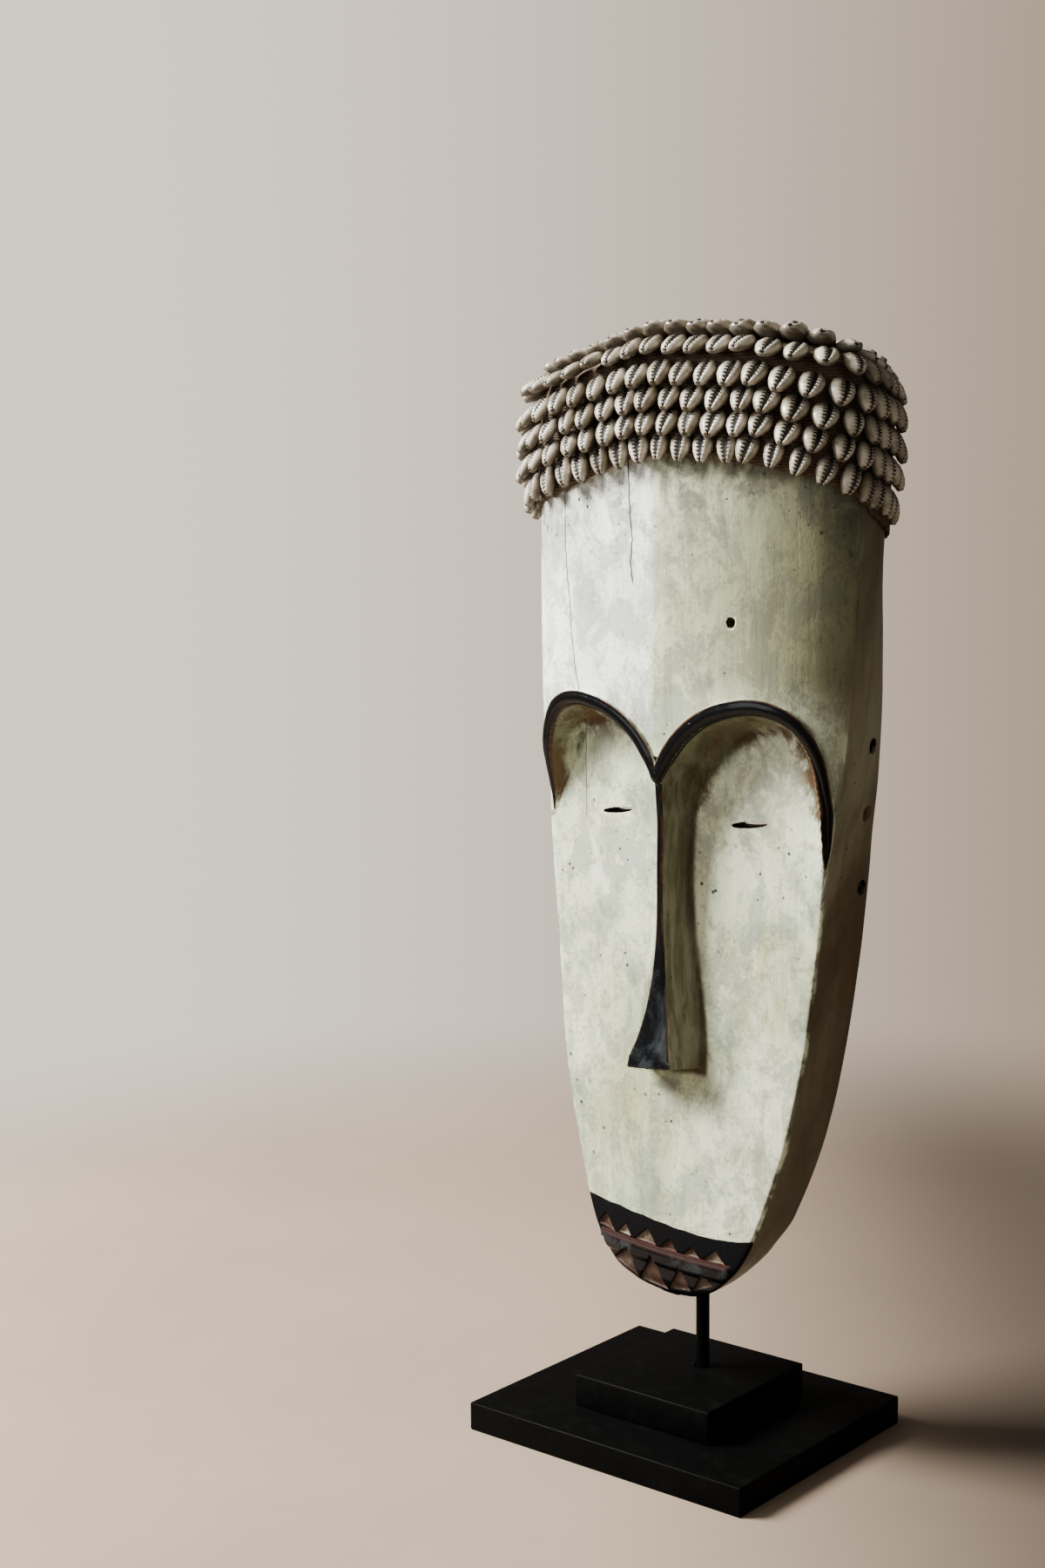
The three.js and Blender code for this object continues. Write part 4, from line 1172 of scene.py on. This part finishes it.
    # Painted shade on the nose's right flank and along the crease at its foot
    right = ranged(across, -2.0, 2.0, 0.3, 1.0)
    low_part = ranged(up, 512, 488)
    # Painted shade: the right flank, away from the light, darker than the left
    flank = ranged(nose, -2.0, 2.5) * right * low_part
    brushed = noise(stretched(place, (190, 190, 16), (1, 2, 3)), 1.0, 5.0, 0.65)
    flank_shade_tone = mixed(ranged(brushed, 0.36, 0.6), look.grime_and_shade, look.shaded_flank)
    flank_shade_tone = mixed(ranged(cloudy, 0.45, 0.65) * 0.6, flank_shade_tone, look.grime_and_shade)
    pale = mixed(flank * 0.9, pale, flank_shade_tone)
    # Painted shade in the crease at the nose's foot, mostly on the right
    crease = ranged(abs(nose - 0.5), 5.0, 0.6) * right * low_part
    pale = mixed(crease * ranged(cloudy, 0.3, 0.55, 0.5, 0.95), pale, look.crease_shade_and_wear)

    # Side walls and the worn arris
    side = ranged(arris + ranged(patchy, 0.3, 0.7, -3.0, 3.0, False), -1.5, 2.5)
    taupe = mixed(ranged(broad, 0.38, 0.62), look.side_dark, look.side_light)
    taupe = mixed(ranged(warm, 0.5, 0.66) * 0.5, taupe, look.rust)
    taupe = mixed(streak * 0.5, taupe, look.side_dark)
    taupe = mixed(speck * 0.8, taupe, SIDE_SPECK)
    taupe = mixed(ranged(up, 420, 200, 0.0, 0.6), taupe, look.side_dark)
    low_side = ranged(up, 640, 420, 0.75, 1.0)
    color = mixed(side * low_side, pale, taupe)
    edge = ranged(abs(arris + 0.5), 2.6, 0.4) * ranged(patchy, 0.42, 0.56)
    edge = edge * (ranged(up, 470, 430) * right)
    color = mixed(edge * 0.75, color, look.crease_shade_and_wear)

    # Cracks, the raw wood behind, and painted shade on the walls of the holes
    wobble = noise(stretched(place, (0, 0, 1)), 130.0, 4.0) * 3.4 - 1.7
    crack = None
    for places, width in CRACKS:
        line = crack_line(across, up, wobble, places, width)
        crack = line if crack is None else larger(crack, line)
    color = mixed(crack * 0.92, color, CRACK)
    raw = mixed(streak, RAW_WOOD, RAW_WOOD_LIGHT)
    raw = mixed(ranged(cloudy, 0.45, 0.7) * 0.6, raw, RAW_WOOD_STAIN)
    color = mixed(ranged(inner, 0.3, 0.7), color, raw)
    # Painted shade: the walls of the holes nearly black
    in_bore = ranged(bore, 0.2, 0.6)
    color = mixed(in_bore, color, HOLE_WALL_SHADE)

    # Black lines, with brown where they are worn and a painted sheen low on the nose
    black = black + ranged(cloudy, 0.3, 0.7, -0.45, 0.45, False)
    worn_line = ranged(black, -0.6, 0.0) * ranged(black, 1.5, 0.5) * ranged(up, 180, 260)
    soot_and_sheen = mixed(ranged(cloudy, 0.5, 0.8), look.black, SOOT)
    on_black = ranged(black, -0.25, 0.25)
    # Painted sheen: blue-grey patches low on the nose's black
    painted_gleam = ranged(up, 400, 300) * ranged(up, 250, 280) * ranged(patchy, 0.45, 0.65)
    soot_and_sheen = mixed(painted_gleam, soot_and_sheen, look.black_painted_sheen)
    color = mixed(on_black, color, soot_and_sheen)
    color = mixed(worn_line * ranged(patchy, 0.4, 0.6) * 0.75, color, look.brown)

    # Lip with a painted sheen, and teeth
    on_lip = ranged(lip, 0.0, 0.8) * ranged(lip + patchy * -7.0, 1.2, -1.0)
    color = mixed(on_lip * 0.85, color, look.lip)
    groove = ranged(abs(lip + 0.5), 1.0, 0.4)
    color = mixed(groove * 0.8, color, MOUTH_GROOVE)
    # Painted sheen along the middle of the lip
    painted_gleam = ranged(abs(lip - 6.0), 5.0, 2.0) * ranged(patchy, 0.42, 0.6)
    color = mixed(painted_gleam * 0.9, color, look.black_painted_sheen)
    tone = tone + ranged(patchy, 0.35, 0.65, -0.35, 0.35, False)
    tooth_color = mixed(ranged(tone, 0.35, 1.15, soft=False), look.tooth_dark, look.tooth_light)
    tooth_color = mixed(streak * 0.4, tooth_color, look.tooth_dark)
    on_tooth = ranged(tooth, 0.0, 0.5)
    color = mixed(on_tooth, color, tooth_color)

    # Gloss and fine relief: the chin's black is matt, the lip's and the brows' black is not
    matt = ranged(lip, 3.0, 1.0) * ranged(up, 180, 172)
    rough = ranged(cloudy + fine * 0.3, 0.45, 0.85, 0.28, 0.5)
    rough = mixed_value(on_black, rough, ranged(fine, 0.3, 0.7, 0.15, 0.26) + matt * 0.4)
    rough = mixed_value(on_tooth, rough, 0.5)
    rough = mixed_value(in_bore, rough, 0.9)
    relief = fine * 0.3 + patchy * 0.9 + speck * -0.8 + streak * -0.25 + crack * -1.5
    fill(shader(material), {
        "Base Color": color, "Roughness": rough, "Normal": bumped(relief, 0.5, 0.0012),
        "Coat Weight": on_black * 0.3 * ranged(matt, 1.0, 0.0), "Coat Roughness": 0.16,
        "Specular IOR Level": 0.05,
    })
    return material


def cowrie_shell(look):
    """Glossy worn shell with its toothed slit as painted shade, and painted shade where the shells overlap,
    drawn on the shell's own UV map.
    """
    material = new_material("cowrie_shell")
    tree = material.node_tree
    uv = Field(node(tree, "ShaderNodeUVMap", uv_map="shell"), "UV")
    place = object_place(tree)
    split = node(tree, "ShaderNodeSeparateXYZ", {0: uv})
    rise = Field(split, "Y")
    away = abs(Field(split, "X") - 0.5)
    ribs = calculate("SINE", rise * 56.0)
    half = ranged(rise, 0.08, 0.5, 0.7, 1.0) * ranged(ribs, -0.3, 0.5, 0.026, 0.062)
    slit = ranged(half + away * -1.0, -0.006, 0.006)
    slit = slit * (ranged(rise, 0.03, 0.07) * ranged(rise, 0.97, 0.9))
    notch = ranged(rise, 0.1, 0.04) * ranged(away, 0.2, 0.1)
    # Painted shade in the slit and in the notch at the tip, where the shell opens
    dark = larger(slit, notch)
    grooves = ranged(ribs, -0.1, 0.9) * ranged(away, 0.15, 0.05)
    tone = noise(place, 38.0, 3.0)
    stain = noise(stretched(place, (1, 1, 1), (5, 5, 5)), 140.0, 4.0)
    color = mixed(ranged(tone, 0.35, 0.65), look.shell_dark, look.shell_light)
    color = mixed(ranged(stain, 0.48, 0.72) * 0.55, color, look.shell_stain_and_shade)
    # Painted shade: darker towards each shell's sides, up its upper part under the row above, and in the
    # grooves between the teeth
    color = mixed(ranged(away, 0.13, 0.27) * 0.85, color, look.shell_stain_and_shade)
    color = mixed(ranged(rise, 0.42, 0.85) * 0.8, color, look.shell_stain_and_shade)
    color = mixed(grooves * 0.45, color, look.shell_stain_and_shade)
    color = mixed(dark, color, SLIT_SHADE)
    height = dark * -1.0 + grooves * -0.5 + stain * 0.15
    fill(shader(material), {"Base Color": color, "Roughness": ranged(stain, 0.3, 0.7, 0.2, 0.42),
                            "Normal": bumped(height, 0.7, 0.0008)})
    return material


def woven_fibre(look):
    material = new_material("woven_fibre")
    tree = material.node_tree
    place = object_place(tree)
    wave = {"Vector": place, "Scale": 160.0, "Distortion": 6.0, "Detail": 3.0}
    strands = Field(node(tree, "ShaderNodeTexWave", wave, bands_direction="Z"), "Fac")
    tangle = noise(place, 420.0, 5.0, 0.7)
    color = mixed(tangle, look.fibre_dark, look.fibre_light)
    color = mixed(strands * 0.4, color, look.fibre_dark)
    fill(shader(material), {"Base Color": color, "Roughness": 0.9, "Normal": bumped(strands, 0.9, 0.0012)})
    return material


def paler(color, factor):
    return tuple(min(1, part * factor) for part in color[:3]) + (1,)


def black_paint(name, tint, rough_low, rough_high):
    material = new_material(name)
    place = object_place(material.node_tree)
    grain = noise(stretched(place, (20, 220, 220)), 1.0, 4.0)
    dust = noise(place, 60.0, 5.0, 0.7)
    fill(shader(material), {
        "Base Color": mixed(ranged(dust, 0.5, 0.8), tint, paler(tint, 2.2)),
        "Roughness": ranged(dust, 0.3, 0.7, rough_low, rough_high),
        "Normal": bumped(grain, 0.25, 0.0004), "Specular IOR Level": 0.03,
    })
    return material


def floor_plaster(look):
    """Pale plaster with painted shade towards the right, that fades out far from the stand."""
    material = new_material("floor_plaster")
    tree = material.node_tree
    place = object_place(tree)
    cloudy = noise(place, 3.0, 6.0, 0.6)
    color = mixed(ranged(cloudy, 0.3, 0.7), tuple(look.floor), paler(look.floor, 1.12))
    rightward = vector_node("DOT_PRODUCT", place, {1: RIGHTWARD})
    # Painted shade: the floor darker towards the right
    color = mixed(ranged(rightward, -0.1, 0.35), color, look.floor_shade_right)
    bsdf = shader(material)
    fill(bsdf, {"Base Color": color, "Roughness": 0.8})
    far = ranged(vector_node("LENGTH", place), 0.7, 1.5)
    clear = Field(node(tree, "ShaderNodeBsdfTransparent"))
    fade = Field(node(tree, "ShaderNodeMixShader", {0: far, 1: Field(bsdf), 2: clear}))
    fill(tree.nodes["Material Output"], {"Surface": fade})
    return material


def fill_world(world, look):
    """Soft air around the object, and the backdrop that the camera sees, with painted light at its left and
    painted shade at its right.
    """
    world.use_nodes = True
    tree = world.node_tree
    way = Field(node(tree, "ShaderNodeTexCoord"), "Generated")
    aside = vector_node("DOT_PRODUCT", way, {1: RIGHTWARD})
    # Painted light and shade: the backdrop bright at the left and dark at the right
    wall = mixed(ranged(aside, -0.3, 0.3), look.backdrop_lit_left, look.backdrop_shaded_right)
    seen = Field(node(tree, "ShaderNodeLightPath"), "Is Camera Ray")
    fill(tree.nodes["Background"], {"Color": mixed(seen, look.air, wall), "Strength": 1.3})


# Settings

def tint(label, color):
    return FloatVectorProperty(name=label, description=f"Colour of the {label.lower()}", subtype="COLOR",
                               size=4, min=0, max=1, default=color)


class MaskLook(bpy.types.PropertyGroup):
    paint_light: tint("Pale paint", (0.74, 0.79, 0.59, 1))
    paint_dark: tint("Aged paint", (0.40, 0.44, 0.27, 1))
    paint_white: tint("Cool white patches", (0.71, 0.83, 0.70, 1))
    paint_grey: tint("Grey-green patches", (0.20, 0.28, 0.20, 1))
    paint_ochre: tint("Ochre stains", (0.50, 0.43, 0.22, 1))
    paint_olive: tint("Olive tint of the forehead", (0.56, 0.58, 0.36, 1))
    # Dirt and wear, with painted shade under the nose
    dirt_and_shade: tint("Dirt and smudges", (0.09, 0.085, 0.065, 1))
    # Patina and painted shade on the right of the forehead
    patina_and_shade: tint("Olive patina on the right", (0.115, 0.11, 0.055, 1))
    # Grime, and painted shade, in the coves and on the nose's right flank
    grime_and_shade: tint("Grime in the coves", (0.085, 0.08, 0.042, 1))
    # Painted shade on the nose's right flank
    shaded_flank: tint("Side of the nose", (0.21, 0.205, 0.14, 1))
    rust: tint("Rusty scratches", (0.12, 0.062, 0.03, 1))
    side_light: tint("Side wall", (0.30, 0.27, 0.18, 1))
    side_dark: tint("Side wall in shade", (0.12, 0.10, 0.065, 1))
    black: tint("Black lines", (0.0025, 0.0025, 0.003, 1))
    # Painted sheen on the black
    black_painted_sheen: tint("Blue-grey sheen on the black", (0.024, 0.029, 0.033, 1))
    brown: tint("Worn edge of the lines", (0.11, 0.058, 0.03, 1))
    # Painted shade in the creases and at the foot of the coves, and worn edges
    crease_shade_and_wear: tint("Dark creases", (0.05, 0.035, 0.018, 1))
    lip: tint("Worn top of the lip", (0.024, 0.010, 0.007, 1))
    tooth_light: tint("Pale teeth", (0.30, 0.255, 0.18, 1))
    tooth_dark: tint("Brown teeth", (0.05, 0.027, 0.019, 1))


class CapLook(bpy.types.PropertyGroup):
    shell_light: tint("Shell", (0.66, 0.60, 0.49, 1))
    shell_dark: tint("Aged shell", (0.30, 0.255, 0.18, 1))
    # Stain, and painted shade between the shells
    shell_stain_and_shade: tint("Stain between the shells", (0.045, 0.032, 0.018, 1))
    fibre_light: tint("Fibre", (0.16, 0.10, 0.055, 1))
    fibre_dark: tint("Fibre in shade", (0.035, 0.022, 0.013, 1))


class StandLook(bpy.types.PropertyGroup):
    plate_width: FloatProperty(name="Plate width", description="Width of the stand's plate",
                               default=0.24, min=0.1, max=0.5, unit="LENGTH")
    plate_depth: FloatProperty(name="Plate depth", description="Depth of the stand's plate",
                               default=0.208, min=0.1, max=0.5, unit="LENGTH")
    paint: tint("Stand paint", (0.0012, 0.0012, 0.0012, 1))


class StageLook(bpy.types.PropertyGroup):
    floor: tint("Floor", (0.265, 0.198, 0.145, 1))
    # Painted shade on the floor at the right
    floor_shade_right: tint("Floor at the right", (0.06, 0.042, 0.028, 1))
    air: tint("Surrounding light", (0.13, 0.115, 0.092, 1))
    # Painted light and shade across the backdrop
    backdrop_lit_left: tint("Backdrop at the left", (1.0, 0.89, 0.76, 1))
    backdrop_shaded_right: tint("Backdrop at the right", (0.32, 0.225, 0.155, 1))
    key_power: FloatProperty(name="Key light", description="Power of the soft light at the front left",
                             default=330.0, min=0, max=500, unit="POWER")


# Operators

class BuildMask(bpy.types.Operator):
    """Carves the mask with its brow ridges, nose, toothed mouth and hollow back"""
    bl_idname = "mask_stand.carve_mask"
    bl_label = "Carve the mask"

    def execute(self, context):
        bm = mask_bmesh()
        bmesh.ops.recalc_face_normals(bm, faces=bm.faces)
        piece = finish_piece(bm, "mask_wood", painted_wood(context.scene.mask_look), ("mask",))
        pierce(piece, cutters())
        bm = bmesh.new()
        bm.from_mesh(piece.data)
        for side in (-1, 1):
            ridge_bmesh(bm, side)
        bm.to_mesh(piece.data)
        bm.free()
        piece.data.polygons.foreach_set("use_smooth", [True] * len(piece.data.polygons))
        return {"FINISHED"}


class BuildCap(bpy.types.Operator):
    """Makes the woven cap"""
    bl_idname = "mask_stand.weave_cap"
    bl_label = "Weave the cap"

    def execute(self, context):
        finish_piece(cap_bmesh(), "woven_cap", woven_fibre(context.scene.cap_look), ("cap",))
        return {"FINISHED"}


class BuildShells(bpy.types.Operator):
    """Sews the rows of cowrie shells on the cap"""
    bl_idname = "mask_stand.sew_shells"
    bl_label = "Sew on the shells"

    def execute(self, context):
        material = cowrie_shell(context.scene.cap_look)
        one = cowrie_mesh()
        for index in range(len(SHELL_ROWS)):
            name = f"cowrie_row_{index + 1}"
            finish_piece(row_bmesh(index, one), f"shells_{index + 1}", material, (name,))
        bpy.data.meshes.remove(one)
        return {"FINISHED"}


class BuildStand(bpy.types.Operator):
    """Makes the stepped black stand and its rod"""
    bl_idname = "mask_stand.build_stand"
    bl_label = "Build the stand"

    def execute(self, context):
        look = context.scene.stand_look
        paint = black_paint("stand_paint", tuple(look.paint), 0.42, 0.6)
        steel = black_paint("rod_paint", tuple(look.paint), 0.3, 0.45)
        plate = slab_bmesh((look.plate_width, look.plate_depth, PLATE_HEIGHT), (0, 0, 0))
        block = slab_bmesh(BLOCK_SIZE, BLOCK_PLACE)
        for piece in (
            finish_piece(plate, "plate", paint, ("base_plate",)),
            finish_piece(block, "block", paint, ("base_block",)),
            finish_piece(rod_bmesh(), "steel_rod", steel, ("rod",)),
        ):
            piece.data.set_sharp_from_angle(angle=math.radians(40))
        return {"FINISHED"}


class BuildStage(bpy.types.Operator):
    """Lays the plain floor and sets the soft lights and the camera"""
    bl_idname = "mask_stand.set_stage"
    bl_label = "Set the stage"

    def execute(self, context):
        scene = context.scene
        look = scene.stage_look
        bm = bmesh.new()
        bmesh.ops.create_circle(bm, cap_ends=True, segments=96, radius=2.4)
        mesh = bpy.data.meshes.new("floor")
        bm.to_mesh(mesh)
        bm.free()
        floor = bpy.data.objects.new("floor", mesh)
        scene.collection.objects.link(floor)
        mesh.materials.append(floor_plaster(look))

        scene.world = scene.world or bpy.data.worlds.new("air")
        fill_world(scene.world, look)
        for name, place, size, share, color in LIGHTS:
            data = bpy.data.lights.new(name, "AREA")
            data.shape = "SQUARE"
            data.size = size
            data.energy = look.key_power * share
            data.color = color
            lamp = bpy.data.objects.new(name, data)
            scene.collection.objects.link(lamp)
            lamp.location = place
            lamp.rotation_euler = (Vector(LIT_POINT) - Vector(place)).to_track_quat("-Z", "Y").to_euler()

        data = bpy.data.cameras.new("camera")
        data.lens = 50
        data.sensor_width = 36
        camera = bpy.data.objects.new("camera", data)
        scene.collection.objects.link(camera)
        camera.location = CAMERA_PLACE
        turn = Matrix()
        for degrees, about in CAMERA_TURNS:
            turn = turn @ Matrix.Rotation(math.radians(degrees), 4, about)
        camera.rotation_euler = turn.to_euler()
        scene.camera = camera
        return {"FINISHED"}


class MaskPanel(bpy.types.Panel):
    bl_idname = "VIEW3D_PT_mask_stand"
    bl_label = "Mask on a stand"
    bl_space_type = "VIEW_3D"
    bl_region_type = "UI"
    bl_category = "Mask"

    def draw(self, context):
        scene = context.scene
        for look in (scene.mask_look, scene.cap_look, scene.stand_look, scene.stage_look):
            box = self.layout.box()
            for key in look.__annotations__:
                box.prop(look, key)
        for operator in BUILDERS:
            self.layout.operator(operator.bl_idname)


BUILDERS = (BuildMask, BuildCap, BuildShells, BuildStand, BuildStage)
LOOKS = {"mask_look": MaskLook, "cap_look": CapLook, "stand_look": StandLook, "stage_look": StageLook}


def register():
    for cls in (*LOOKS.values(), *BUILDERS, MaskPanel):
        bpy.utils.register_class(cls)
    for key, cls in LOOKS.items():
        setattr(bpy.types.Scene, key, PointerProperty(type=cls))


def unregister():
    for key in LOOKS:
        delattr(bpy.types.Scene, key)
    for cls in reversed((*LOOKS.values(), *BUILDERS, MaskPanel)):
        bpy.utils.unregister_class(cls)


def main():
    register()
    bpy.ops.mask_stand.set_stage()
    bpy.ops.mask_stand.carve_mask()
    bpy.ops.mask_stand.weave_cap()
    bpy.ops.mask_stand.sew_shells()
    bpy.ops.mask_stand.build_stand()


if __name__ == "__main__":
    main()
